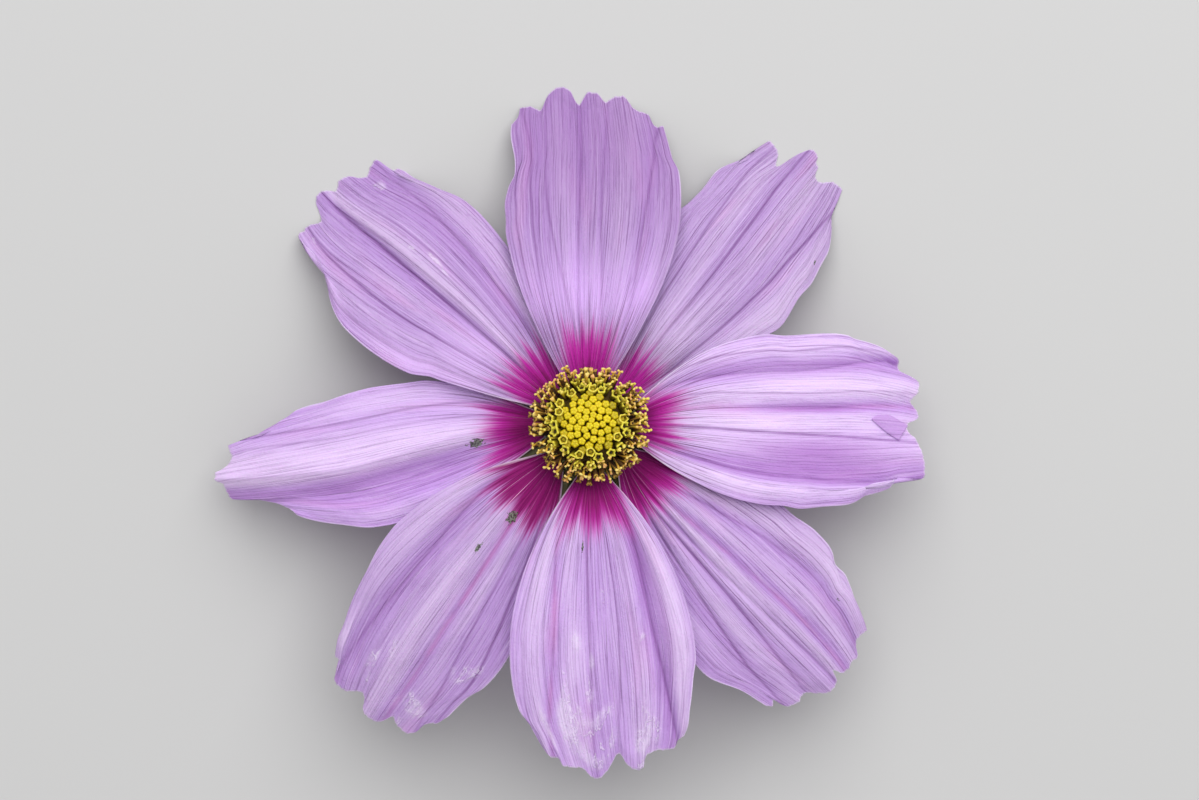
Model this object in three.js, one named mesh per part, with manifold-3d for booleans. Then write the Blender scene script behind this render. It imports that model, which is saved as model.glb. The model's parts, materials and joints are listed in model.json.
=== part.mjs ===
// A picked cosmos bloom, lying face up on a surface on its own short flower stalk.
// Millimetres, +Z up. The head is drawn about its own axis and then leaned, so that the stalk
// and the drooping tips of three petals carry it.
import * as THREE from 'three';
import { mergeVertices } from 'three/addons/utils/BufferGeometryUtils.js';
import Module from 'manifold-3d';

const wasm = await Module();
wasm.setup();

// Driving dimensions of the head
const HEAD_HEIGHT = 10;                          // head origin above the surface
const HEAD_LEAN = THREE.MathUtils.degToRad(10.5); // the head's axis leans towards +Y
const CLEARANCE = 0.3;                           // between pieces that touch

// Petals: eight rays on the receptacle's wall
const CLAW_START = 5.2;       // distance of the claw's root from the head axis
const CLAW_HEIGHT = 1.5;      // mid height of the claws
const PETAL_THICKNESS = 0.7;
const PETAL_RISE = 2.3;       // how far a petal climbs from its claw
const RISE_LENGTH = 9;        // distance over which it climbs
const DROOP_LENGTH = 34;      // distance over which the named droop is reached
const DROOP_POWER = 2.2;
const EDGE_LIFT = 0.85;       // an edge lies this far over or under its neighbour's
const CLAW_LIFT = 0.65;       // share of that lift at the claw's root
const LIFT_LENGTH = 3;        // distance over which it grows to the whole
const ROWS = [0, 0.05, 0.12, 0.2, 0.3, 0.4, 0.5, 0.6, 0.7, 0.79, 0.87, 0.94, 1];

// Receptacle, the disc that everything grows from
const WALL_RADIUS = 4.85;
const RECEPTACLE_TOP = 2.4;
const RECEPTACLE_FOOT = -2.3;
const FOOT_RADIUS = 1.3;
const RECEPTACLE_SIDES = 32;

// Bracts under the petals
const BRACT_THICKNESS = 0.6;
const INNER_BRACT = { length: 7.4, halfWidth: 2.5, start: 5.5, height: 0, rise: 1.2, turn: 0 };
const OUTER_BRACT = { length: 9.5, halfWidth: 0.95, start: 4.3, height: -1.75, rise: -0.9, turn: 0.5 };

// Collars that the bracts grow from, as [radius, height] round the head axis
const OUTER_COLLAR = [[3.38, -1.94], [3.8, -2.5], [5, -1.6], [4.58, -1.04]];
const INNER_COLLAR = [[5.2, -0.35], [5.9, -0.35], [5.9, 0.35], [5.2, 0.35]];

// Disc florets
const BUD_COUNT = 48;
const BUD_FIELD_RADIUS = 3.35;
const BUD_RADIUS = 0.44;
const BUD_HEIGHT = 1.3;
const DOME_BASE = 2.7;
const DOME_SHOULDER = 4.9;
const DOME_TOP = 6.2;
const DOME_RADIUS = 3.2;
const COLLAR = { inner: 3.55, outer: 4.6, bottom: 2.7, top: 4.1 };
const FLORET_SIDES = 5;
const FLORET_ROWS = [
  { count: 15, root: 4, rootHeight: 3.4, tip: 4.35, height: 6.5, radius: 0.5, top: 0.78, cap: 0.05 },
  { count: 21, root: 4.15, rootHeight: 3.3, tip: 5.35, height: 6.9, radius: 0.36, top: 0.3, cap: 0.45 },
  { count: 27, root: 4.3, rootHeight: 3.2, tip: 6.3, height: 6.1, radius: 0.36, top: 0.28, cap: 0.45 },
];
const GOLDEN_ANGLE = Math.PI * (3 - Math.sqrt(5));

// Stalk
const STALK_RADIUS = 0.95;
const STALK_LIES_AT = 0.98;     // height of its middle line where it lies on the surface
const STALK_SIDES = 10;
const STALK_STEPS = 22;

// One petal per line of the compass. A side gives the half width of the claw, the widest half
// width, the distance at which it is reached and how full the side is before it. An edge of +1
// lies over the neighbour, -1 under it. The tip runs from the left shoulder to the right one as
// [distance, offset]. A fold runs from one share of the width at the claw to another at the tip;
// a negative depth is a groove.
const PETALS = {
  petal_north: {
    azimuth: 89.5, droop: 7, edges: [1, 1],
    left: { claw: 2.7, wide: 9.9, at: 26, fullness: 1.9 },
    right: { claw: 2, wide: 10.2, at: 25, fullness: 1.7 },
    tip: [[37.3, 9.5], [39.1, 8.3], [38.6, 6.4], [41.2, 4.2], [41, 2.8], [39.1, 1.7], [40.9, 0.2],
      [39.7, -1.5], [40.6, -3], [38.8, -5.1], [38.4, -6.6], [37, -8]],
    folds: [{ from: 0.5, to: 0.55, depth: -0.35, half: 0.16 },
      { from: 0.62, to: 0.75, depth: 0.3, half: 0.14 }],
  },
  petal_northeast: {
    azimuth: 50.5, droop: 7.4, edges: [-1, -1],
    left: { claw: 1.5, wide: 8.8, at: 30, fullness: 2 },
    right: { claw: 1.5, wide: 8.8, at: 24, fullness: 1.8 },
    tip: [[37.2, 7.6], [40.4, 6.4], [40, 5], [38.7, 3.8], [41.8, 2.4], [43, 1.4], [42.1, 0.4],
      [40.3, -1], [41.4, -2.6], [41.3, -3.9], [38.2, -5.4]],
    folds: [{ from: 0.5, to: 0.62, depth: -0.4, half: 0.16 },
      { from: 0.35, to: 0.3, depth: 0.3, half: 0.16 }],
  },
  petal_east: {
    azimuth: -1, droop: 5, edges: [1, 1],
    left: { claw: 2.9, wide: 11.2, at: 26, fullness: 2.5 },
    right: { claw: 1.5, wide: 8.6, at: 21, fullness: 2 },
    tip: [[34.6, 9.3], [37.3, 6.9], [36.8, 4.7], [37.6, 3.2], [36.2, 1.7], [37.8, -0.8],
      [38.4, -2.8], [38.2, -4.2], [35.2, -4.8], [33.5, -6]],
    folds: [{ from: 0.7, to: 0.85, depth: -0.6, half: 0.12 },
      { from: 0.5, to: 0.55, depth: -0.5, half: 0.14 },
      { from: 0.2, to: 0.1, depth: -0.6, half: 0.14 }],
  },
  petal_southeast: {
    azimuth: -46, droop: 7, edges: [-1, -1],
    left: { claw: 1.5, wide: 10.3, at: 27, fullness: 1.9 },
    right: { claw: 0.6, wide: 9.8, at: 26, fullness: 1.9 },
    tip: [[35.2, 8.2], [37.6, 7.1], [37.6, 6], [39.2, 4.2], [39.4, 2.2], [36.9, 1.2], [39.9, 0.2],
      [39.6, -1.4], [38, -3], [37.8, -5], [36.4, -6.2], [35.6, -7.2]],
    folds: [{ from: 0.5, to: 0.7, depth: -0.45, half: 0.14 },
      { from: 0.3, to: 0.35, depth: 0.35, half: 0.16 }],
  },
  petal_south: {
    azimuth: -86.5, droop: 5, edges: [1, 1],
    left: { claw: 1.5, wide: 10.2, at: 26, fullness: 1.9 },
    right: { claw: 1.6, wide: 10.3, at: 25, fullness: 1.8 },
    tip: [[34.9, 8.5], [36.2, 7], [36.4, 5.3], [38.2, 3.2], [36.3, 0.9], [38.9, -1.4], [37.5, -3.4],
      [37.2, -5.1], [35.6, -7.2]],
    folds: [{ from: 0.85, to: 0.88, depth: -0.5, half: 0.14 },
      { from: 0.2, to: 0.22, depth: -0.5, half: 0.14 }],
  },
  petal_southwest: {
    azimuth: -128, droop: 6, edges: [-1, 1],
    left: { claw: 0.4, wide: 8.8, at: 28, fullness: 1.9 },
    right: { claw: 2.2, wide: 10.4, at: 25, fullness: 1.8 },
    tip: [[35.4, 7], [37.3, 5.6], [39.4, 4.3], [39, 2.2], [40.7, 0.4], [38.7, -2.1], [39.9, -4.2],
      [39.5, -5.7], [37.4, -6.8], [35, -7.5]],
    folds: [{ from: 0.45, to: 0.4, depth: -0.4, half: 0.16 },
      { from: 0.65, to: 0.7, depth: 0.3, half: 0.16 }],
  },
  petal_west: {
    azimuth: -173.5, droop: 7, edges: [-1, -1],
    left: { claw: 0.4, wide: 8.1, at: 23, fullness: 1.6 },
    right: { claw: 1.5, wide: 7.8, at: 20, fullness: 1.6 },
    tip: [[34.4, 5.5], [37.2, 3.3], [41.4, 2.3], [43.2, 0.2], [43.1, -0.8], [41.2, -2.2],
      [41.5, -3.8], [38.7, -4.3], [35.4, -5.4]],
    folds: [{ from: 0.55, to: 0.8, depth: -0.7, half: 0.15 },
      { from: 0.4, to: 0.6, depth: 0.4, half: 0.15 }],
  },
  petal_northwest: {
    azimuth: 137.5, droop: 7.9, edges: [1, -1],
    left: { claw: 1.6, wide: 10.1, at: 28, fullness: 1.9 },
    right: { claw: 1.5, wide: 10.6, at: 29, fullness: 1.8 },
    tip: [[33.6, 8.1], [36, 6.4], [41.2, 5.3], [41.7, 3.6], [40.9, 2.1], [43.5, 0.2], [41.9, -1.8],
      [42.6, -3.2], [40.6, -5.4], [41.3, -7], [38.8, -8.1], [37.8, -9.1]],
    folds: [{ from: 0.5, to: 0.68, depth: -0.55, half: 0.14 },
      { from: 0.75, to: 0.9, depth: -0.45, half: 0.12 }],
  },
};

const clamp01 = (x) => THREE.MathUtils.clamp(x, 0, 1);
const smooth = (x, from, to) => THREE.MathUtils.smoothstep(x, from, to);

function finish(color, roughness) {
  return new THREE.MeshStandardMaterial({ color, roughness, metalness: 0 });
}

const PETAL_PINK = finish(0xd0a8e4, 0.55);
const STALK_GREEN = finish(0x6f8f3c, 0.6);
const BRACT_GREEN = finish(0x4d6b2a, 0.6);
const BRACT_BROWN = finish(0x8a7a4c, 0.65);
const BUD_YELLOW = finish(0xd9c02a, 0.5);
const ANTHER_BROWN = finish(0xa8782a, 0.6);

// Triangles of a geometry as a manifold solid, with shared corners merged and slivers left out
function toSolid(geometry) {
  const bare = geometry.clone();
  bare.deleteAttribute('normal');
  bare.deleteAttribute('uv');
  const merged = mergeVertices(bare, 1e-4);
  const index = merged.index.array;
  const triangles = [];
  for (let i = 0; i < index.length; i += 3) {
    const [a, b, c] = [index[i], index[i + 1], index[i + 2]];
    if (a !== b && b !== c && c !== a) triangles.push(a, b, c);
  }
  return new wasm.Manifold(new wasm.Mesh({
    numProp: 3,
    vertProperties: new Float32Array(merged.attributes.position.array),
    triVerts: new Uint32Array(triangles),
  }));
}

function toGeometry(solid) {
  const mesh = solid.getMesh();
  const geometry = new THREE.BufferGeometry();
  geometry.setAttribute('position', new THREE.BufferAttribute(new Float32Array(mesh.vertProperties), 3));
  geometry.setIndex(new THREE.BufferAttribute(new Uint32Array(mesh.triVerts), 1));
  return geometry;
}

function fuse(geometries) {
  return toGeometry(geometries.map(toSolid).reduce((whole, next) => whole.add(next)));
}

// Geometry with corners on a grid of rows and columns, closed round its rim. point(row, column,
// side) gives a corner; side is +1 on the upper face and -1 on the lower one.
function blade(rowCount, columnCount, point) {
  const positions = [];
  for (const side of [1, -1]) {
    for (let i = 0; i < rowCount; i++) {
      for (let j = 0; j < columnCount; j++) positions.push(...point(i, j, side));
    }
  }
  const half = rowCount * columnCount;
  const at = (i, j) => i * columnCount + j;
  const index = [];
  for (let i = 0; i + 1 < rowCount; i++) {
    for (let j = 0; j + 1 < columnCount; j++) {
      const [a, b, c, d] = [at(i, j), at(i + 1, j), at(i + 1, j + 1), at(i, j + 1)];
      index.push(a, b, c, a, c, d);
      index.push(half + a, half + c, half + b, half + a, half + d, half + c);
    }
  }
  const rim = [];
  for (let j = 0; j + 1 < columnCount; j++) rim.push([at(0, j + 1), at(0, j)]);
  for (let i = 0; i + 1 < rowCount; i++) rim.push([at(i, 0), at(i + 1, 0)]);
  for (let j = 0; j + 1 < columnCount; j++) rim.push([at(rowCount - 1, j), at(rowCount - 1, j + 1)]);
  for (let i = rowCount - 1; i > 0; i--) rim.push([at(i, columnCount - 1), at(i - 1, columnCount - 1)]);
  for (const [a, b] of rim) index.push(a, half + a, half + b, a, half + b, b);
  const geometry = new THREE.BufferGeometry();
  geometry.setAttribute('position', new THREE.Float32BufferAttribute(positions, 3));
  geometry.setIndex(index);
  return geometry;
}

// Half width of a petal's side at a distance from the head axis
function sideWidth(side, shoulder, distance) {
  if (distance < side.at) {
    const u = clamp01((distance - CLAW_START) / (side.at - CLAW_START));
    return side.claw + (side.wide - side.claw) * (1 - (1 - u) ** side.fullness);
  }
  const u = clamp01((distance - side.at) / (shoulder[0] - side.at));
  return side.wide - (side.wide - Math.abs(shoulder[1])) * u * u;
}

// Point of a petal's outline patch: along runs from claw to tip, across from right to left
function petalPlan(petal, along, across, tipDistance) {
  const left = petal.tip[0];
  const right = petal.tip[petal.tip.length - 1];
  const distance = CLAW_START + along * (tipDistance - CLAW_START);
  const leftY = sideWidth(petal.left, left, CLAW_START + along * (left[0] - CLAW_START));
  const rightY = -sideWidth(petal.right, right, CLAW_START + along * (right[0] - CLAW_START));
  return [distance, THREE.MathUtils.lerp(rightY, leftY, across)];
}

// Height of a petal's middle surface in the head's frame
function petalHeight(petal, along, across, distance) {
  const climb = PETAL_RISE * smooth(distance, CLAW_START, CLAW_START + RISE_LENGTH);
  const droop = petal.droop * Math.max(0, (distance - CLAW_START) / DROOP_LENGTH) ** DROOP_POWER;
  const side = 2 * across - 1;
  const [leftEdge, rightEdge] = petal.edges;
  const whole = THREE.MathUtils.lerp(rightEdge, leftEdge, across);
  const edge = (side > 0 ? leftEdge : rightEdge) * smooth(Math.abs(side), 0, 0.8);
  const spread = smooth(distance, CLAW_START + 1, CLAW_START + 9);
  const grown = CLAW_LIFT + (1 - CLAW_LIFT) * smooth(distance, CLAW_START, CLAW_START + LIFT_LENGTH);
  const lift = EDGE_LIFT * grown * THREE.MathUtils.lerp(whole, edge, spread);
  let folded = 0;
  for (const fold of petal.folds) {
    const off = Math.abs(across - THREE.MathUtils.lerp(fold.from, fold.to, along)) / fold.half;
    if (off < 1) folded += fold.depth * Math.cos(off * Math.PI / 2) ** 2;
  }
  return CLAW_HEIGHT + climb - droop + lift + folded * smooth(along, 0.08, 0.4);
}

// Height in the head's frame at which a point of a petal meets the surface
function surfaceHeight(azimuth, distance, offset) {
  const towardsLean = distance * Math.sin(azimuth) + offset * Math.cos(azimuth);
  return (towardsLean * Math.sin(HEAD_LEAN) - HEAD_HEIGHT) / Math.cos(HEAD_LEAN);
}

function petalGeometry(petal) {
  const azimuth = THREE.MathUtils.degToRad(petal.azimuth);
  const tip = [...petal.tip].reverse();
  const [right, left] = [tip[0][1], tip[tip.length - 1][1]];
  return blade(ROWS.length, tip.length, (i, j, side) => {
    const across = (tip[j][1] - right) / (left - right);
    const [distance, offset] = petalPlan(petal, ROWS[i], across, tip[j][0]);
    const middle = petalHeight(petal, ROWS[i], across, distance);
    const under = Math.max(middle - PETAL_THICKNESS / 2, surfaceHeight(azimuth, distance, offset));
    return [distance, offset, side > 0 ? under + PETAL_THICKNESS : under];
  });
}

function makePetal(name, petal) {
  const mesh = new THREE.Mesh(petalGeometry(petal), PETAL_PINK);
  mesh.name = name;
  mesh.rotation.z = THREE.MathUtils.degToRad(petal.azimuth);
  return mesh;
}

function lathe(profile, sides) {
  const points = profile.map(([radius, height]) => new THREE.Vector2(radius, height));
  return new THREE.LatheGeometry(points, sides).rotateX(Math.PI / 2);
}

function makeReceptacle() {
  const profile = [[0, RECEPTACLE_FOOT], [FOOT_RADIUS, RECEPTACLE_FOOT], [3.2, -1.7], [4.4, -0.8],
    [WALL_RADIUS, 0], [WALL_RADIUS, RECEPTACLE_TOP - 0.3], [WALL_RADIUS - 0.4, RECEPTACLE_TOP],
    [0, RECEPTACLE_TOP]];
  const mesh = new THREE.Mesh(toGeometry(toSolid(lathe(profile, RECEPTACLE_SIDES))), BRACT_GREEN);
  mesh.name = 'receptacle';
  return mesh;
}

// One leaf-like bract along +X, turned to its place
function bractGeometry(bract, turn) {
  const rows = [0, 0.25, 0.5, 0.75, 1];
  const widths = [0.62, 0.95, 1, 0.72, 0.12];
  const geometry = blade(rows.length, 3, (i, j, side) => {
    const x = bract.start + rows[i] * bract.length;
    const y = (j - 1) * bract.halfWidth * widths[i];
    const cupped = 0.25 * Math.abs(j - 1) * (bract.halfWidth / INNER_BRACT.halfWidth);
    const z = bract.height + bract.rise * rows[i] ** 1.5 + cupped * smooth(rows[i], 0, 0.5);
    return [x, y, z + side * BRACT_THICKNESS / 2];
  });
  return geometry.rotateZ(turn);
}

// A whorl of bracts grown together in a collar round the receptacle
function makeBracts(name, bract, collar, material) {
  const blades = [];
  const azimuths = Object.values(PETALS).map((petal) => petal.azimuth);
  for (let i = 0; i < azimuths.length; i++) {
    const here = azimuths[i];
    const next = azimuths[(i + 1) % azimuths.length];
    const step = THREE.MathUtils.euclideanModulo(here - next, 360);
    blades.push(bractGeometry(bract, THREE.MathUtils.degToRad(here - step * bract.turn)));
  }
  const ring = lathe([...collar, collar[0]], RECEPTACLE_SIDES);
  const mesh = new THREE.Mesh(fuse([ring, ...blades]), material);
  mesh.name = name;
  return mesh;
}

// A tapering column from its root to its top, for a bud or an anther tube
function column(root, top, radius, topRadius, sides, capHeight) {
  const axis = new THREE.Vector3().subVectors(top, root);
  const length = axis.length();
  const profile = [[0, 0], [radius * 0.6, 0], [radius, length * 0.7], [topRadius, length],
    [0, length + capHeight]];
  const geometry = lathe(profile, sides);
  const turn = new THREE.Quaternion().setFromUnitVectors(new THREE.Vector3(0, 0, 1), axis.normalize());
  return geometry.applyQuaternion(turn).translate(root.x, root.y, root.z);
}

function domeHeight(radius) {
  return DOME_TOP - (DOME_TOP - DOME_SHOULDER) * (radius / DOME_RADIUS) ** 2;
}

function polar(radius, angle, height) {
  return new THREE.Vector3(radius * Math.cos(angle), radius * Math.sin(angle), height);
}

// Closed buds packed on their dome in the golden-angle spiral
function makeClosedBuds() {
  const core = [[0, DOME_BASE], [DOME_RADIUS, DOME_BASE]];
  for (const share of [1, 0.75, 0.45]) core.push([DOME_RADIUS * share, domeHeight(DOME_RADIUS * share)]);
  core.push([0, DOME_TOP]);
  const pieces = [lathe(core, 20)];
  for (let i = 0; i < BUD_COUNT; i++) {
    const radius = BUD_FIELD_RADIUS * Math.sqrt((i + 0.5) / BUD_COUNT);
    const angle = i * GOLDEN_ANGLE;
    const height = domeHeight(Math.min(radius, DOME_RADIUS));
    const root = polar(radius * 0.88, angle, height - 0.9);
    const top = polar(radius, angle, height + BUD_HEIGHT - 0.45);
    pieces.push(column(root, top, BUD_RADIUS, BUD_RADIUS * 0.7, 5, 0.35));
  }
  const mesh = new THREE.Mesh(fuse(pieces), BUD_YELLOW);
  mesh.name = 'closed_buds';
  return mesh;
}

// Open florets: a ring of star corollas, then anther tubes that lean out over the claws
function makeOpenFlorets() {
  const { inner, outer, bottom, top } = COLLAR;
  const ring = [[inner, bottom], [outer, bottom], [outer, top - 0.4], [outer - 0.4, top], [inner, top],
    [inner, bottom]];
  const pieces = [lathe(ring, 40)];
  FLORET_ROWS.forEach((row, k) => {
    for (let i = 0; i < row.count; i++) {
      const angle = (i + 0.37 * k) / row.count * 2 * Math.PI;
      const root = polar(row.root, angle, row.rootHeight);
      const tip = polar(row.tip, angle, row.height);
      pieces.push(column(root, tip, row.radius, row.top, FLORET_SIDES, row.cap));
    }
  });
  const mesh = new THREE.Mesh(fuse(pieces), ANTHER_BROWN);
  mesh.name = 'open_florets';
  return mesh;
}

// The stalk leaves the receptacle along the head's axis and bends down to lie on the surface
function makeStalk() {
  const foot = RECEPTACLE_FOOT - CLEARANCE;
  const lean = new THREE.Vector3(0, Math.sin(HEAD_LEAN), Math.cos(HEAD_LEAN));
  const top = lean.clone().multiplyScalar(foot).add(new THREE.Vector3(0, 0, HEAD_HEIGHT));
  const below = top.clone().addScaledVector(lean, -5);
  const bend = new THREE.CubicBezierCurve3(top, below, new THREE.Vector3(0.2, -4.5, STALK_LIES_AT),
    new THREE.Vector3(0.8, -12, STALK_LIES_AT));
  const lying = new THREE.QuadraticBezierCurve3(new THREE.Vector3(0.8, -12, STALK_LIES_AT),
    new THREE.Vector3(1.8, -22, STALK_LIES_AT), new THREE.Vector3(1, -33, STALK_LIES_AT));
  const route = new THREE.CurvePath();
  route.add(bend);
  route.add(lying);
  const path = new THREE.CatmullRomCurve3(route.getSpacedPoints(12));
  const outline = [];
  for (let i = 0; i < STALK_SIDES; i++) {
    const angle = (i + 0.5) / STALK_SIDES * 2 * Math.PI;
    outline.push(new THREE.Vector2(STALK_RADIUS * Math.cos(angle), STALK_RADIUS * Math.sin(angle)));
  }
  const geometry = new THREE.ExtrudeGeometry(new THREE.Shape(outline), {
    steps: STALK_STEPS, extrudePath: path, bevelEnabled: false,
  });
  const mesh = new THREE.Mesh(toGeometry(toSolid(geometry)), STALK_GREEN);
  mesh.name = 'stalk';
  return mesh;
}

const head = new THREE.Group();
head.position.z = HEAD_HEIGHT;
head.rotation.x = -HEAD_LEAN;
head.add(makeReceptacle());
head.add(makeBracts('inner_bracts', INNER_BRACT, INNER_COLLAR, BRACT_BROWN));
head.add(makeBracts('outer_bracts', OUTER_BRACT, OUTER_COLLAR, BRACT_GREEN));
for (const [name, petal] of Object.entries(PETALS)) head.add(makePetal(name, petal));
head.add(makeClosedBuds());
head.add(makeOpenFlorets());

const flower = new THREE.Group();
flower.add(head);
flower.add(makeStalk());

// The origin is at the middle of the flower's footprint, on the surface
flower.updateMatrixWorld(true);
const bounds = new THREE.Box3().setFromObject(flower, true);
const middle = bounds.getCenter(new THREE.Vector3());
flower.position.set(-middle.x, -middle.y, -bounds.min.z);

export default flower;
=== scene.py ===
"""Looks of a picked cosmos bloom that lies face up on its petal tips and its short stalk.

Sizes are in millimetres up to the moment a mesh is made, and metres in Blender. The head is
drawn about its own axis and then leaned towards +Y, as in the part's source.
"""

from __future__ import annotations

import json
import logging
import math
from dataclasses import dataclass, field
from enum import Enum
from typing import Any, Callable, ClassVar, Sequence

import bpy
import numpy as np
from mathutils import Matrix, Vector

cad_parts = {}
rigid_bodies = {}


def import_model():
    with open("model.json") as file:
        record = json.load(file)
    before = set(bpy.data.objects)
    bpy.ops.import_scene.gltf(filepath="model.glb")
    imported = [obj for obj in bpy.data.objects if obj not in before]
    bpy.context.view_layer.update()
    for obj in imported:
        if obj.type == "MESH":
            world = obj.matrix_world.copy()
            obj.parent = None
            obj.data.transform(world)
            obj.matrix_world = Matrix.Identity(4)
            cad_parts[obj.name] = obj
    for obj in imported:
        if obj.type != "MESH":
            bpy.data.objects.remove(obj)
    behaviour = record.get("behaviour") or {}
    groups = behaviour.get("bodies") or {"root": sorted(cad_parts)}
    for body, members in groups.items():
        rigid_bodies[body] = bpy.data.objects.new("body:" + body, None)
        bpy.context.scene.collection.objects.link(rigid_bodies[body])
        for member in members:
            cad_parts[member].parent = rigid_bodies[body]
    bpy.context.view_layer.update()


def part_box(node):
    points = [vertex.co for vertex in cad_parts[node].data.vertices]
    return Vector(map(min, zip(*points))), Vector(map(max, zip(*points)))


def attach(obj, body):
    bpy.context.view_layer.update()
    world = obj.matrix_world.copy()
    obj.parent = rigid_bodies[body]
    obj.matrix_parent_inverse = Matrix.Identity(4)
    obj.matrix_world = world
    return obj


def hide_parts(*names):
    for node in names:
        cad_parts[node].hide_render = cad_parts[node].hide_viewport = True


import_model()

LOG = logging.getLogger("cosmos")

MM = 0.001
TAU = 2 * math.pi
GOLDEN_ANGLE = math.pi * (3 - math.sqrt(5))
ROOT = "root"

# Head
HEAD_LEAN = math.radians(10.5)
HEAD_HEIGHT = 10.0
WALL_RADIUS = 4.85
RECEPTACLE_TOP = 2.4
RECEPTACLE_FOOT = -2.3

# Petals
CLAW_START = 5.2
CLAW_HEIGHT = 1.5
CAD_THICKNESS = 0.7
PETAL_RISE = 2.3
RISE_LENGTH = 9.0
DROOP_LENGTH = 34.0
DROOP_POWER = 2.2
EDGE_LIFT = 0.85
CLAW_LIFT = 0.65
LIFT_LENGTH = 3.0
PLEAT_STATIONS = (0.15, 0.5, 1.0)
LINE_WIDTH = 0.13
PINK_WIDTH = 0.3
RIPPLE_SEED = 100

# Disc
DOME_TOP = 6.2
DOME_SHOULDER = 4.9
DOME_RADIUS = 3.2
DOME_REACH = 4.2
BUD_SIDES, STAR_SIDES, ANTHER_SIDES, FORK_SIDES, CLUMP_SIDES, DOME_SIDES = 20, 30, 10, 6, 9, 48
BUD_KINDS, OPENING_KINDS, STAR_KINDS, ANTHER_KINDS, FORK_KINDS, CLUMP_KINDS = 5, 4, 5, 4, 9, 3
BUD_SEED, OPENING_SEED, STAR_SEED, ANTHER_SEED, FORK_SEED, CLUMP_SEED = 200, 300, 400, 500, 600, 700

# Stalk
STALK_LIES_AT = 0.98

# Picture
PICTURE_WIDTH = 134.3
PICTURE_LEVEL = 13.5
CAMERA_DISTANCE = 290.0
SENSOR_WIDTH = 36.0
CAMERA_SHIFT = (1.15, 3.54)

Array = np.ndarray
Colour = tuple[float, float, float, float]
Line = tuple[tuple[float, float], ...]
Patches = tuple[tuple[float, float, float, float, float], ...]
Profile = Sequence[tuple[float, float, float]]
Lobing = Callable[[Array, int], tuple[Array, Array]]
Node = bpy.types.Node
Socket = bpy.types.NodeSocket
Material = bpy.types.Material
Mesh = bpy.types.Mesh
Piece = bpy.types.Object


def smooth(value: Array | float, low: float, high: float) -> Array:
    """Smooth step of a value from 0 at low to 1 at high.

    Args:
        value: Number or array.
        low: Where the step starts.
        high: Where the step ends.

    Returns:
        The step, from 0 to 1.
    """
    share = np.clip((np.asarray(value, float) - low) / (high - low), 0.0, 1.0)
    return share * share * (3.0 - 2.0 * share)


def bell(value: Array, centre: float | Array, half: float) -> Array:
    """Soft hump of a value, 1 at the centre and small from its half width on."""
    return np.exp(-(((value - centre) / half) ** 2))


def monotone_curve(stations: Sequence[float], heights: Sequence[float], at: Array) -> Array:
    """A smooth curve through given points that adds no bumps of its own.

    Args:
        stations: Rising places of the points.
        heights: Heights of the points.
        at: Places at which the curve is read.

    Returns:
        Heights of the curve.
    """
    x, y = np.asarray(stations, float), np.asarray(heights, float)
    step = np.diff(x)
    rise = np.diff(y) / step
    before, after = 2 * step[1:] + step[:-1], step[1:] + 2 * step[:-1]
    with np.errstate(divide="ignore", invalid="ignore"):
        mean = (before + after) / (before / rise[:-1] + after / rise[1:])
    inner = np.where(rise[1:] * rise[:-1] > 0, mean, 0.0)
    slope = np.concatenate([[rise[0] * 0.6], inner, [rise[-1] * 0.6]])
    k = np.clip(np.searchsorted(x, at, side="right") - 1, 0, len(x) - 2)
    t = np.clip((at - x[k]) / step[k], 0.0, 1.0)
    leave, arrive = t**3 - 2 * t**2 + t, t**3 - t**2
    fade, grow = 2 * t**3 - 3 * t**2 + 1, -2 * t**3 + 3 * t**2
    return (fade * y[k] + leave * step[k] * slope[k]
            + grow * y[k + 1] + arrive * step[k] * slope[k + 1])


def turned(points: Array, angle: float) -> Array:
    """Points turned about the Z axis by an angle in radians."""
    c, s = math.cos(angle), math.sin(angle)
    return points @ np.array([[c, s, 0.0], [-s, c, 0.0], [0.0, 0.0, 1.0]])


@dataclass(frozen=True)
class HeadFrame:
    """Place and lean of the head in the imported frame, in millimetres."""

    origin: tuple[float, float, float]
    lean: float = HEAD_LEAN

    @classmethod
    def from_frame(cls) -> HeadFrame:
        """Reads the head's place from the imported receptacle.

        Returns:
            The head's frame.
        """
        low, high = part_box("receptacle")
        x = (low.x + high.x) / 2 / MM
        y = low.y / MM + WALL_RADIUS * math.cos(HEAD_LEAN)
        return cls((x, y, HEAD_HEIGHT))

    def place(self, points: Array) -> Array:
        """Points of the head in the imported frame.

        Args:
            points: Rows of x, y and z about the head's own axis, in millimetres.

        Returns:
            The same points leaned and moved, still in millimetres.
        """
        c, s = math.cos(self.lean), math.sin(self.lean)
        x, y, z = np.asarray(points, float).T
        return np.stack([x, y * c + z * s, z * c - y * s], 1) + np.array(self.origin)

    def matrix(self) -> Matrix:
        """The same place and lean as a matrix in metres."""
        return Matrix.Translation(Vector(self.origin) * MM) @ Matrix.Rotation(-self.lean, 4, "X")

    def surface_under(self, points: Array) -> Array:
        """Head height at which the upright line through each point meets the surface."""
        return (points[:, 1] * math.sin(self.lean) - self.origin[2]) / math.cos(self.lean)


HEAD = HeadFrame.from_frame()


def linked(name: str, data: Any) -> Piece:
    """Puts an object with its data in the scene, at the origin.

    Args:
        name: Name of the object.
        data: Mesh, light or camera.

    Returns:
        The object.
    """
    item = bpy.data.objects.new(name, data)
    bpy.context.scene.collection.objects.link(item)
    return item


def install(piece: Piece, slot: str, *nodes: str) -> Piece:
    """Makes an object a piece of the flower.

    Args:
        piece: The object, with its final mesh.
        slot: Material slot of the record; not used.
        nodes: Solids that it stands for.

    Returns:
        The same object.
    """
    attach(piece, ROOT)
    if nodes:
        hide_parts(*nodes)
    return piece


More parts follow.
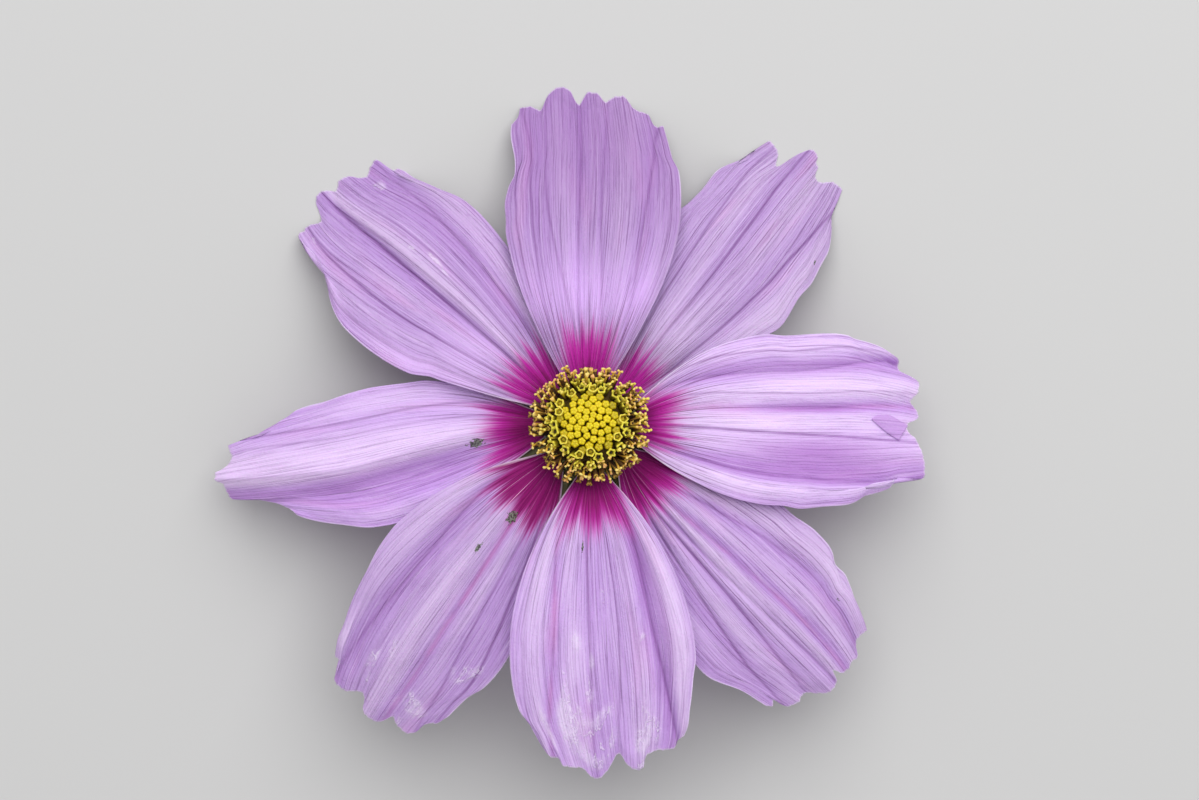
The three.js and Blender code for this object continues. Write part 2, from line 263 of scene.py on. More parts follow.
@dataclass
class MeshData:
    """Corners, faces and per-corner values of a mesh, in millimetres."""

    points: Array
    faces: list[Sequence[int]]
    values: dict[str, Array] = field(default_factory=dict)
    uv: Array | None = None

    @classmethod
    def merged(cls, parts: Sequence[MeshData]) -> MeshData:
        """Several meshes side by side in one.

        Args:
            parts: Meshes that all hold the same values.

        Returns:
            The whole mesh.
        """
        faces: list[Sequence[int]] = []
        start = 0
        for part in parts:
            faces += [tuple(corner + start for corner in face) for face in part.faces]
            start += len(part.points)
        values = {key: np.concatenate([part.values[key] for part in parts])
                  for key in parts[0].values}
        uv = None if parts[0].uv is None else np.concatenate([part.uv for part in parts])
        return cls(np.concatenate([part.points for part in parts]), faces, values, uv)

    def to_mesh(self, name: str, material: Material | None = None) -> Mesh:
        """Makes a Blender mesh.

        Args:
            name: Name of the mesh.
            material: Its finish.

        Returns:
            The mesh, in metres.
        """
        mesh = bpy.data.meshes.new(name)
        mesh.from_pydata((self.points * MM).tolist(), [], self.faces)
        for key, value in self.values.items():
            layer = mesh.attributes.new(key, "FLOAT", "POINT")
            layer.data.foreach_set("value", np.asarray(value, np.float32))
        if self.uv is not None:
            layer = mesh.uv_layers.new(name="petal")
            corners = np.zeros(len(mesh.loops), np.int32)
            mesh.loops.foreach_get("vertex_index", corners)
            layer.data.foreach_set("uv", self.uv[corners].astype(np.float32).ravel())
        mesh.polygons.foreach_set("use_smooth", [True] * len(mesh.polygons))
        if material is not None:
            mesh.materials.append(material)
        mesh.update()
        return mesh


@dataclass(frozen=True)
class Wire:
    """Output of a node: each sum with it adds a math node to its tree."""

    graph: Graph
    socket: Socket

    def __add__(self, other: Wire | float) -> Wire:
        """This plus another."""
        return self.graph.math("ADD", self, other)

    def __sub__(self, other: Wire | float) -> Wire:
        """This less another."""
        return self.graph.math("SUBTRACT", self, other)

    def __rsub__(self, other: float) -> Wire:
        """A number less this."""
        return self.graph.math("SUBTRACT", other, self)

    def __mul__(self, other: Wire | float) -> Wire:
        """This times another."""
        return self.graph.math("MULTIPLY", self, other)

    def __truediv__(self, other: Wire | float) -> Wire:
        """This by another."""
        return self.graph.math("DIVIDE", self, other)


class Graph:
    """Adds nodes to a tree and joins their sockets."""

    def __init__(self, tree: bpy.types.NodeTree) -> None:
        """Keeps the tree that the nodes go into."""
        self.tree = tree

    def feed(self, socket: Socket, value: Any) -> None:
        """Joins a socket to a wire, or sets its value.

        Args:
            socket: Input of a node.
            value: Wire, number, colour or data that it gets.
        """
        if isinstance(value, Wire):
            self.tree.links.new(value.socket, socket)
        else:
            socket.default_value = value

    def add(self, kind: str, inputs: dict[Any, Any] | None = None, **settings: Any) -> Node:
        """Adds one node.

        Args:
            kind: Blender's name of the node type.
            inputs: Values or wires for its inputs, by name or number.
            settings: Its own options.

        Returns:
            The node.
        """
        node = self.tree.nodes.new(kind)
        for key, value in settings.items():
            setattr(node, key, value)
        for key, value in (inputs or {}).items():
            self.feed(node.inputs[key], value)
        return node

    def wire(self, kind: str, inputs: dict[Any, Any] | None = None, output: int | str = 0,
             **settings: Any) -> Wire:
        """Adds one node, as add does, and gives the output of that name or number."""
        return Wire(self, self.add(kind, inputs, **settings).outputs[output])

    def math(self, operation: str, a: Any, b: Any = 0.0, clamp: bool = False) -> Wire:
        """Result of one sum on numbers."""
        return self.wire("ShaderNodeMath", {0: a, 1: b}, operation=operation, use_clamp=clamp)

    def vector(self, operation: str, inputs: dict[Any, Any], output: int | str = 0) -> Wire:
        """Result of one sum on vectors."""
        return self.wire("ShaderNodeVectorMath", inputs, output, operation=operation)

    def combine(self, x: Any, y: Any, z: Any) -> Wire:
        """A vector from three numbers."""
        return self.wire("ShaderNodeCombineXYZ", {0: x, 1: y, 2: z})


class Tree(Graph):
    """A Geometry Nodes tree with named inputs, run once to a plain mesh."""

    KINDS: ClassVar[tuple[tuple[type, str], ...]] = (
        (int, "Int"), (float, "Float"), (bpy.types.Collection, "Collection"),
        (Material, "Material"),
    )

    def __init__(self, name: str, inputs: dict[str, Any]) -> None:
        """Makes the tree and its inputs.

        Args:
            name: Name of the tree.
            inputs: Values of its inputs by name, beside the geometry that it runs on.
        """
        super().__init__(bpy.data.node_groups.new(name, "GeometryNodeTree"))
        self.socket("Geometry", "Geometry")
        self.values = {}
        for label, value in inputs.items():
            kind = next(kind for held, kind in self.KINDS if isinstance(value, held))
            self.values[self.socket(label, kind)] = value
        self.socket("Geometry", "Geometry", "OUTPUT")
        self.source = self.add("NodeGroupInput")
        self.here = self.wire("GeometryNodeInputPosition")
        self.index = self.wire("GeometryNodeInputIndex")

    def socket(self, label: str, kind: str, way: str = "INPUT") -> str:
        """Adds an input or output to the tree and gives its identifier."""
        return self.tree.interface.new_socket(
            name=label, in_out=way, socket_type="NodeSocket" + kind).identifier

    def given(self, label: str) -> Wire:
        """One of the tree's inputs."""
        return Wire(self, self.source.outputs[label])

    def kept(self, geometry: Wire, name: str, value: Wire) -> Wire:
        """Geometry with a number stored at each of its points."""
        return self.wire("GeometryNodeStoreNamedAttribute", {
            "Geometry": geometry, "Name": name, "Value": value}, data_type="FLOAT", domain="POINT")

    def run(self, geometry: Wire, points: Sequence[Any] = (), edges: Sequence[Any] = ()) -> Mesh:
        """Ends the tree, runs it on given points and takes its plain result.

        Args:
            geometry: What the tree has made.
            points: Points that it runs on, in metres.
            edges: Edges between them.

        Returns:
            The mesh, in metres.
        """
        real = self.wire("GeometryNodeRealizeInstances", {"Geometry": geometry})
        dressed = self.wire("GeometryNodeSetMaterial",
                            {"Geometry": real, "Material": self.given("Finish")})
        self.feed(self.add("NodeGroupOutput").inputs[0], dressed)
        mesh = bpy.data.meshes.new(self.tree.name + "_points")
        mesh.from_pydata(points, edges, [])
        carrier = linked(self.tree.name, mesh)
        modifier = carrier.modifiers.new("tree", "NODES")
        modifier.node_group = self.tree
        for identifier, value in self.values.items():
            modifier[identifier] = value
        carrier.update_tag()
        bpy.context.view_layer.update()
        graph = bpy.context.evaluated_depsgraph_get()
        plain = bpy.data.meshes.new_from_object(carrier.evaluated_get(graph))
        carrier.modifiers.remove(modifier)
        bpy.data.objects.remove(carrier)
        return plain


class Paint(Graph):
    """A material in the making, with the few patterns that every finish uses."""

    def __init__(self, name: str) -> None:
        """Starts a material with its Principled shader.

        Args:
            name: Name of the material.
        """
        self.material = bpy.data.materials.new(name)
        self.material.use_nodes = True
        super().__init__(self.material.node_tree)
        where = self.wire("ShaderNodeTexCoord", output="Object")
        self.here = self.vector("SCALE", {0: where, 3: 1 / MM})

    def attribute(self, name: str) -> Wire:
        """A number stored on the mesh."""
        return self.wire("ShaderNodeAttribute", output="Fac", attribute_type="GEOMETRY",
                         attribute_name=name)

    def noise(self, scale: float, detail: float = 2.0, roughness: float = 0.5,
              at: Wire | None = None) -> Wire:
        """Even noise from 0 to 1.

        Args:
            scale: Cells to a millimetre, or to a unit of the given place.
            detail: Number of finer layers.
            roughness: Weight of the finer layers.
            at: Where it is read, if not at the object coordinates.

        Returns:
            Its strength.
        """
        return self.wire("ShaderNodeTexNoise", {
            "Vector": at or self.here, "Scale": scale, "Detail": detail, "Roughness": roughness,
        })

    def step(self, value: Wire, low: float, high: float, least: float = 0.0,
             most: float = 1.0) -> Wire:
        """Smooth step of a value.

        Args:
            value: What is read.
            low: Where the step starts.
            high: Where the step ends.
            least: Result at its start.
            most: Result at its end.

        Returns:
            The step.
        """
        return self.wire("ShaderNodeMapRange", {
            "Value": value, "From Min": low, "From Max": high, "To Min": least, "To Max": most,
        }, interpolation_type="SMOOTHSTEP")

    def largest(self, first: Wire, *others: Wire) -> Wire:
        """The largest of several numbers.

        Args:
            first: One of them.
            others: The rest.

        Returns:
            The largest.
        """
        for other in others:
            first = self.math("MAXIMUM", first, other)
        return first

    def layers(self, base: Wire | Colour, *coats: tuple[Wire, Wire | Colour]) -> Wire:
        """A colour with other colours over it.

        Args:
            base: The lowest colour.
            coats: For each coat its strength and its colour, from the lowest up.

        Returns:
            The colour that is seen.
        """
        for share, colour in coats:
            base = self.wire("ShaderNodeMix", {0: share, 6: base, 7: colour}, 2, data_type="RGBA")
        return base

    def bump(self, height: Wire, strength: float, distance: float) -> Wire:
        """Surface relief from a height; the distance is in millimetres."""
        return self.wire("ShaderNodeBump", {"Height": height, "Strength": strength,
                                            "Distance": distance * MM})

    def shade(self, inputs: dict[str, Any]) -> Material:
        """Feeds the shader's inputs and gives the finished material.

        Args:
            inputs: Wires and values by the name of the input.

        Returns:
            The material.
        """
        shader = self.tree.nodes["Principled BSDF"]
        for key, value in inputs.items():
            self.feed(shader.inputs[key], value)
        return self.material


def toned(colour: Colour, factor: float) -> Colour:
    """A colour made darker or lighter by a factor."""
    return (colour[0] * factor, colour[1] * factor, colour[2] * factor, 1.0)


def blended(colour: Colour, other: Colour, share: float) -> Colour:
    """A colour with a share of another in it."""
    return tuple(a + (b - a) * share for a, b in zip(colour, other))


# Petal colours
LILAC: Colour = (0.645, 0.40, 0.85, 1)
LILAC_PALE: Colour = (0.87, 0.665, 0.99, 1)
LILAC_BRIGHT: Colour = (0.76, 0.48, 0.95, 1)
# Darker lilac: fine streaks, painted shade in the pleats' grooves, and the painted shade patches
LILAC_GROOVE: Colour = (0.47, 0.215, 0.61, 1)
# Near white of the painted sheen and the painted highlights
SHEEN_WHITE: Colour = (1.0, 0.92, 1.0, 1)
PINK: Colour = (0.80, 0.38, 0.72, 1)
PINK_VEIN: Colour = (0.74, 0.27, 0.60, 1)
DARK_VEIN: Colour = (0.25, 0.085, 0.34, 1)
# Pale of the rain-bleached spots, also used for the painted highlight along the petals' edges
BLEACH_AND_RIM_HIGHLIGHT: Colour = (0.93, 0.84, 0.99, 1)
BLUSH: Colour = (0.66, 0.09, 0.50, 1)
BLUSH_STREAK: Colour = (0.68, 0.085, 0.46, 1)
BLUSH_GLINT: Colour = (1.0, 0.55, 0.84, 1)
MAGENTA: Colour = (0.52, 0.018, 0.36, 1)
MAROON: Colour = (0.23, 0.003, 0.11, 1)
BASE_VEIN: Colour = (0.09, 0.002, 0.05, 1)
CRUMB: Colour = (0.20, 0.24, 0.17, 1)
CRUMB_DARK: Colour = (0.035, 0.04, 0.02, 1)


@dataclass(frozen=True)
class Streaks:
    """Noise drawn out along a petal: its cells over the width and the length, and its place."""

    across: float
    along: float
    shift: float
    detail: float = 3.0


@dataclass(frozen=True)
class Lines:
    """Thin lines from claw to tip: their number, half width as a share of a gap, and place."""

    count: float
    width: float
    shift: float


# Patterns of the tissue
BROAD = Streaks(4.5, 1.3, 0, 2)
FINE = Streaks(95, 4, 11, 4)
DASHES = Streaks(150, 16, 23, 2)
PINKS = Streaks(7, 2.2, 31, 1)
BROKEN = Streaks(6, 6, 91, 2)
GRAIN = Streaks(90, 4, 71, 4)
GLINTS = Lines(22, 0.12, 9)
VEINS = ((Lines(13, 0.05, 3), 0.9), (Lines(29, 0.08, 5), 0.6), (Lines(64, 0.15, 7), 0.5))

# Patterns of the magenta base
FLAMES = Streaks(14, 0.8, 47)
THIN = Streaks(52, 0.9, 53, 4)
SOME = Streaks(9, 1, 89, 1)
BASE_DASHES = Streaks(70, 9, 107, 2)
BASE_GLINTS = Lines(13, 0.055, 83)
BASE_LINES = Lines(25, 0.08, 101)


class Tissue(Paint):
    """A petal's material in the making, with patterns that follow the petal's own map."""

    def __init__(self, side: str, seed: int) -> None:
        """Starts the material of one petal.

        Args:
            side: Where the petal points.
            seed: Moves its patterns, so that no two petals are alike.
        """
        super().__init__("petal_tissue_" + side)
        self.seed = seed
        uv = self.wire("ShaderNodeUVMap", uv_map="petal")
        parts = self.add("ShaderNodeSeparateXYZ", {0: uv})
        self.across, self.along = Wire(self, parts.outputs[0]), Wire(self, parts.outputs[1])

    def streaks(self, kind: Streaks) -> Wire:
        """Noise drawn out along the petal.

        Args:
            kind: Which noise.

        Returns:
            Its strength, from 0 to 1.
        """
        at = self.combine(self.across * kind.across, self.along * kind.along,
                          self.seed * 7 + kind.shift)
        return self.noise(1.0, kind.detail, 0.6, at)

    def lines(self, kind: Lines) -> Wire:
        """Thin lines that wander and fade in and out.

        Args:
            kind: Which set of lines.

        Returns:
            Their strength, from 0 to 1.
        """
        wander = self.streaks(Streaks(4.0, 1.3, kind.shift, 1.0))
        place = (self.across + wander * 0.06) * kind.count + (self.seed * 31 + kind.shift)
        gap = self.wire("ShaderNodeTexVoronoi", {"W": place, "Scale": 1.0, "Randomness": 1.0},
                        "Distance", voronoi_dimensions="1D", feature="DISTANCE_TO_EDGE")
        patchy = self.streaks(Streaks(kind.count, 3.5, kind.shift + 60))
        return (self.step(gap, kind.width, kind.width * 0.25)
                * self.step(patchy, 0.38, 0.62, 0.05, 1.0))


@dataclass(frozen=True)
class PetalFinish:
    """Petal tissue: lilac, finely veined along its length, with a magenta base."""

    # Darkening of the whole petal: partly its own deeper colour, partly painted shade for petals
    # that lie lower or face away from the light
    tint: float = 1.0
    blush_reach: float = 11.0
    blush_fade: float = 2.4
    maroon_reach: float = 8.0
    marks: float = 0.0
    margin: tuple[float, float] = (1.6, 2.6)
    veining: float = 0.6
    # Share of painted sheen: the lilac is mixed towards near white
    painted_sheen: float = 0.0
    claw_rim: float = 0.5
    # Colour of the painted highlights, if not a paler lilac
    gleam: Colour | None = None
    glint: float = 0.3

    def build(self, side: str, seed: int) -> Material:
        """Builds the node material of one petal.

        Args:
            side: Where the petal points.
            seed: Moves its patterns.

        Returns:
            The material.
        """
        paint = Tissue(side, seed)
        worn = self.worn(paint)
        veins = paint.largest(*(paint.lines(kind) * weight for kind, weight in VEINS))
        colour = paint.layers(self.tissue(paint, veins), (worn * 0.42, BLEACH_AND_RIM_HIGHLIGHT))
        colour = self.blushed(paint, colour, veins)
        mottle = paint.step(paint.noise(5.5, 3.0), 0.42, 0.58)
        # Pale rims: the claws' own pale margins, and a painted highlight along the edges, strongest
        # towards the tip
        ends = paint.largest(
            paint.step(paint.along, 0.6, 0.85, 0.1, 0.45),
            paint.step(paint.attribute("reach"), 13.0, 8.5, 0.0, self.claw_rim))
        rim = paint.step(paint.attribute("gap"), 0.22, 0.05) * ends
        colour = paint.layers(
            colour, (self.crumbs(paint), paint.layers(CRUMB_DARK, (mottle, CRUMB))),
            (rim, BLEACH_AND_RIM_HIGHLIGHT))
        sunk = veins * 0.5 + paint.attribute("line")
        relief = paint.streaks(GRAIN) * 0.5 - sunk + paint.noise(3.2, 2.0) * 0.5 + worn * 0.5
        return paint.shade({
            "Base Color": colour, "Normal": paint.bump(relief, 0.85, 0.15),
            "Roughness": paint.step(paint.noise(1.6, 3.0), 0.3, 0.7, 0.5, 0.64) - worn * 0.2,
            "Sheen Weight": 0.03, "Sheen Roughness": 0.4, "Specular IOR Level": 0.15,
            "Subsurface Weight": 0.12, "Subsurface Radius": (1.0, 0.55, 0.9),
            "Subsurface Scale": 0.4 * MM,
        })

    def crumbs(self, paint: Tissue) -> Wire:
        """Ragged green crumbs that lie on the petal.

        Args:
            paint: What adds the nodes.

        Returns:
            Their strength, from 0 to 1.
        """
        speck = paint.attribute("speck")
        ragged = paint.noise(2.8, 5.0, 0.65) * 1.7
        return paint.step(speck + ragged, 1.3, 1.42, 0.0, 0.9) * paint.step(speck, 0.1, 0.2)

    def worn(self, paint: Tissue) -> Wire:
        """Bleached spots where rain has marked the tissue.

        Args:
            paint: What adds the nodes.

        Returns:
            Their strength, from 0 to 1.
        """
        at = paint.combine(paint.across * 26.0, paint.along * 22.0, paint.seed)
        cloud, marked = paint.noise(0.34, 6.0, 0.7, at), paint.attribute("mark")
        tips = paint.step(paint.along, 0.62, 0.9)
        tips = tips * paint.step(paint.noise(0.13, 2.0, at=at), 0.45, 0.58)
        spots = paint.step(cloud, 0.6, 0.66) * tips
        spots = paint.math("MULTIPLY", spots, self.marks, clamp=True)
        ridge = paint.math("ABSOLUTE", paint.noise(0.5, 3.0, 0.6, at) - 0.5)
        placed = paint.step(ridge, 0.03, 0.01, 0.0, 1.1) * paint.step(marked, 0.2, 0.7)
        smear = paint.step(cloud, 0.4, 0.6) * paint.step(marked, 0.2, 0.9)
        return paint.largest(spots, placed, smear)

    def tissue(self, paint: Tissue, veins: Wire) -> Wire:
        """Colour of the lilac tissue between the base and the rim.

        Args:
            paint: What adds the nodes.
            veins: Where the thin lines are.

        Returns:
            Its colour.
        """
        # Painted sheen pales the lilac on some petals
        base = toned(blended(LILAC, SHEEN_WHITE, self.painted_sheen * 0.6), self.tint)
        pale = toned(blended(LILAC_PALE, SHEEN_WHITE, self.painted_sheen), self.tint)
        groove, dark = toned(LILAC_GROOVE, self.tint), toned(DARK_VEIN, self.tint)
        # Paler lilac of the painted highlights
        highlight_lilac = toned(blended(LILAC_PALE, SHEEN_WHITE, 0.2), min(1.0, 1.2 * self.tint))
        fold, fine = paint.attribute("fold"), paint.streaks(FINE)
        # Painted light from the pleats' heights: crests paler as painted highlight, grooves darker
        # as painted shade, with broad random streaks
        lit = fold * 0.95 + paint.streaks(BROAD) * 0.7
        pinks = paint.attribute("pink") * paint.step(paint.streaks(BROKEN), 0.3, 0.65)
        return paint.layers(
            base,
            (paint.step(lit, 0.1, 0.9, 0.0, 0.85), pale),
            # Painted shade in the pleats' grooves
            (paint.step(fold, 0.0, -0.6, 0.0, 0.45), groove),
            (paint.step(fine, 0.5, 0.72, 0.0, 0.32), groove),
            (paint.step(fine, 0.48, 0.28, 0.0, 0.42), pale),
            (paint.step(paint.streaks(DASHES), 0.59, 0.7, 0.0, 0.55 * self.veining), dark),
            (paint.lines(GLINTS) * 0.25, LILAC_PALE),
            (veins * self.veining, dark),
            (paint.step(paint.streaks(PINKS), 0.56, 0.75, 0.0, 0.2), PINK),
            (paint.attribute("line"), dark),
            (pinks, PINK_VEIN),
            # Painted shade of the darker patches and of the folded lobe
            (paint.attribute("tone"), groove),
            # Painted highlight patches
            (paint.attribute("gleam"), self.gleam or highlight_lilac))

    def blushed(self, paint: Tissue, colour: Wire, veins: Wire) -> Wire:
        """The tissue's colour with the flaming magenta base over it.

        Args:
            paint: What adds the nodes.
            colour: Colour of the tissue.
            veins: Where the thin lines are.

        Returns:
            The colour with the base.
        """
        reach, thin = paint.attribute("reach"), paint.streaks(THIN)
        place = reach + (paint.streaks(FLAMES) * 8.0 + thin * 5.0 - 6.5)
        place = place + paint.step(paint.attribute("gap"), self.margin[0], 0.05, 0.0,
                                   self.margin[1])
        edge, fade = self.blush_reach, self.blush_fade
        stain = paint.step(place, edge + fade, edge - fade)
        light = paint.step(thin, 0.46, 0.3, 0.0, 0.5) * paint.step(reach, 6.0, 9.0)
        some = paint.step(paint.streaks(SOME), 0.44, 0.6, 0.0, self.glint)
        dash = paint.step(paint.streaks(BASE_DASHES), 0.6, 0.68, 0.0, self.veining - 0.3)
        dark = paint.largest(veins * paint.step(reach, 18.0, 10.0),
                             paint.lines(BASE_LINES) * paint.step(reach, 16.0, 9.0),
                             dash * paint.step(reach, 19.0, 12.0))
        deep = paint.step(place, self.maroon_reach + 2.2, self.maroon_reach - 1.0, 0.0, 0.88)
        return paint.layers(
            colour,
            (paint.step(stain, 0.0, 0.6) * 0.4, BLUSH),
            (paint.step(stain, 0.3, 1.0), MAGENTA),
            (deep, MAROON),
            (paint.step(thin, 0.52, 0.68, 0.0, 0.7) * stain, MAROON),
            (light * stain, BLUSH_STREAK),
            (paint.lines(BASE_GLINTS) * stain * some, BLUSH_GLINT),
            (dark * 0.8, BASE_VEIN))


@dataclass(frozen=True)
class FloretFinish:
    """Finish of the small flowers of the disc: foot, body and top, warm for some of the tops."""

    name: str
    foot: Colour
    body: Colour
    top: Colour
    roughness: float = 0.45
    grain: float = 9.0
    relief: float = 0.25
    warm: Colour | None = None

    def build(self) -> Material:
        """Builds the node material.

        Returns:
            The material.
        """
        paint = Paint(self.name)
        rise, own = paint.attribute("rise"), paint.attribute("own")
        speck = paint.noise(self.grain, 3.0)
        top = self.top
        if self.warm is not None:
            top = paint.layers(top, (paint.step(own, 0.19, 0.23), self.warm))
        # Darker towards the foot: the anthers' own dark brown, and painted shade down in the gaps
        # between the florets and in their cups and throats
        colour = paint.layers(
            self.foot,
            (paint.step(rise, 0.0, 0.55), self.body),
            (paint.step(rise, 0.6, 1.0), top),
            (paint.step(speck, 0.5, 0.75, 0.0, 0.3), self.body),
            (paint.math("MULTIPLY", own, 0.5, clamp=True), self.foot))
        rough = paint.step(speck, 0.3, 0.7, self.roughness - 0.06, self.roughness + 0.1)
        return paint.shade({
            "Base Color": colour, "Normal": paint.bump(speck, self.relief, 0.05),
            "Roughness": rough, "Specular IOR Level": 0.3, "Subsurface Weight": 0.12,
            "Subsurface Scale": 0.25 * MM,
        })


class FloretLook(Enum):
    """Finishes of the disc's parts."""

    BUD = FloretFinish("bud_yellow", (0.05, 0.03, 0.002, 1), (0.50, 0.35, 0.004, 1),
                       (0.90, 0.72, 0.013, 1), 0.38, 8.0, 0.3)
    OPENING = FloretFinish("opening_yellow", (0.05, 0.03, 0.003, 1), (0.50, 0.38, 0.008, 1),
                           (0.96, 0.82, 0.10, 1), 0.42)
    STAR = FloretFinish("star_green_gold", (0.03, 0.014, 0.004, 1), (0.44, 0.36, 0.02, 1),
                        (0.90, 0.80, 0.08, 1), 0.45)
    ANTHER = FloretFinish("anther_brown", (0.02, 0.006, 0.004, 1), (0.13, 0.06, 0.016, 1),
                          (0.62, 0.40, 0.06, 1), 0.55)
    FORK = FloretFinish("pollen_gold", (0.10, 0.04, 0.008, 1), (0.70, 0.42, 0.04, 1),
                        (1.0, 0.78, 0.22, 1), 0.42, 14.0, 0.6, (1.0, 0.56, 0.20, 1))
    YOUNG = FloretFinish("pollen_yellow", (0.06, 0.035, 0.005, 1), (0.56, 0.42, 0.02, 1),
                         (1.0, 0.84, 0.16, 1), 0.42, 14.0, 0.5, (1.0, 0.66, 0.16, 1))
    CHAFF = FloretFinish("chaff_brown", (0.03, 0.014, 0.005, 1), (0.09, 0.05, 0.008, 1),
                         (0.13, 0.09, 0.006, 1), 0.7)


@dataclass(frozen=True)
class GreenFinish:
    """Leaf and stalk tissue, with ribs that follow an attribute round the piece."""

    name: str
    base: Colour
    light: Colour
    dark: Colour
    ribs: float = 9.0
    roughness: float = 0.5

    def build(self) -> Material:
        """Builds the node material.

        Returns:
            The material.
        """
        paint = Paint(self.name)
        cloud, fine = paint.noise(0.9, 4.0), paint.noise(7.0, 3.0)
        wave = paint.math("SINE", paint.attribute("across") * (self.ribs * TAU))
        colour = paint.layers(
            self.base,
            (paint.step(cloud, 0.35, 0.7), self.light),
            (paint.step(wave, 0.2, 1.0, 0.0, 0.5), self.dark),
            (paint.step(fine, 0.55, 0.8, 0.0, 0.4), self.light))
        rough = paint.step(cloud, 0.3, 0.7, self.roughness - 0.05, self.roughness + 0.1)
        return paint.shade({
            "Base Color": colour, "Normal": paint.bump(fine - wave * 0.5, 0.3, 0.08),
            "Roughness": rough, "Subsurface Weight": 0.08, "Subsurface Scale": 0.3 * MM,
        })


@dataclass(frozen=True)
class StageFinish:
    """Plain pale floor."""

    name: str = "pale_floor"
    base: Colour = (0.60, 0.60, 0.585, 1)
    cloudy: Colour = (0.54, 0.54, 0.53, 1)

    def build(self) -> Material:
        """Builds the node material.

        Returns:
            The material.
        """
        paint = Paint(self.name)
        cloud = paint.step(paint.noise(0.02, 2.0), 0.3, 0.7, 0.0, 0.06)
        colour = paint.layers(self.base, (cloud, self.cloudy))
        return paint.shade({"Base Color": colour, "Roughness": 0.85})


def shell(upper: Array, lower: Array) -> tuple[Array, list[list[int]]]:
    """A closed thin blade between two grids of points.

    Args:
        upper: Rows by columns of points.
        lower: The same for the underside.

    Returns:
        Corners, the upper ones first, and faces.
    """
    rows, columns = upper.shape[:2]
    half = rows * columns
    number = np.arange(half).reshape(rows, columns)
    top = np.stack([number[:-1, :-1], number[1:, :-1], number[1:, 1:], number[:-1, 1:]], 2)
    top = top.reshape(-1, 4)
    ring = np.concatenate([number[0, :0:-1], number[:-1, 0], number[-1, :-1], number[:0:-1, -1]])
    after = np.roll(ring, -1)
    rim = np.stack([ring, ring + half, after + half, after], 1)
    points = np.concatenate([upper.reshape(-1, 3), lower.reshape(-1, 3)])
    return points, np.concatenate([top, top[:, ::-1] + half, rim]).tolist()


@dataclass(frozen=True)
class Side:
    """Outline of one side of a petal."""

    claw: float
    wide: float
    at: float
    fullness: float
    trim: Line

    def width(self, shoulder: tuple[float, float], distance: Array) -> Array:
        """Half width at distances from the head axis.

        Args:
            shoulder: Where the side ends, as distance and offset.
            distance: Distances from the head axis.

        Returns:
            Half widths.
        """
        grown = np.clip((distance - CLAW_START) / (self.at - CLAW_START), 0, 1)
        inner = self.claw + (self.wide - self.claw) * (1 - (1 - grown) ** self.fullness)
        gone = np.clip((distance - self.at) / (shoulder[0] - self.at), 0, 1)
        outer = self.wide - (self.wide - abs(shoulder[1])) * gone**2
        return np.where(distance < self.at, inner, outer)

    def trimmed(self, along: Array) -> Array:
        """What the margin has more or less than the even curve, by the share of its length."""
        places, gains = zip(*self.trim)
        return monotone_curve(places, gains, along)


@dataclass(frozen=True)
class Pleat:
    """A crease or crest that runs from claw to tip."""

    path: tuple[float, float, float]
    height: float
    crease: float = 0.0
    line: float = 0.0
    grows: tuple[float, float] = (-0.12, 0.36)
    pink: float = 0.0

    def across(self, along: Array) -> Array:
        """Where the pleat runs: a parabola through its three places.

        Args:
            along: Shares of the petal's length.

        Returns:
            Shares of its width.
        """
        share = np.clip(along, 0.06, 1.0)
        total = np.zeros_like(share)
        for k, value in enumerate(self.path):
            term = np.full_like(share, value)
            for m, other in enumerate(PLEAT_STATIONS):
                if m != k:
                    term = term * (share - other) / (PLEAT_STATIONS[k] - other)
            total = total + term
        return np.clip(total, 0.004, 0.996)


@dataclass(frozen=True)
class Curl:
    """A lobe of the tip that turns up or down."""

    across: float
    half: float
    height: float
    start: float = 0.8


@dataclass(frozen=True)
class Flap:
    """A lobe of the tip that is folded back over the petal, between two edges in millimetres."""

    low: Line
    high: Line
    lift: float = 0.2
    thickness: float = 0.16
    # Strength of the painted shade over the folded lobe, in the groove colour
    tone: float = 0.45
    rows: int = 28
    columns: int = 16

    def edge(self, points: Line) -> Array:
        """One of the long edges as an even row of points.

        Args:
            points: Corners of the edge, as distance and offset.

        Returns:
            A row of distance and offset for each row of the flap.
        """
        line, share = np.array(points), np.linspace(0, 1, self.rows)
        run = np.concatenate([[0.0], np.cumsum(np.hypot(*np.diff(line, axis=0).T))])
        return np.stack([monotone_curve(run / run[-1], line[:, k], share) for k in (0, 1)], -1)


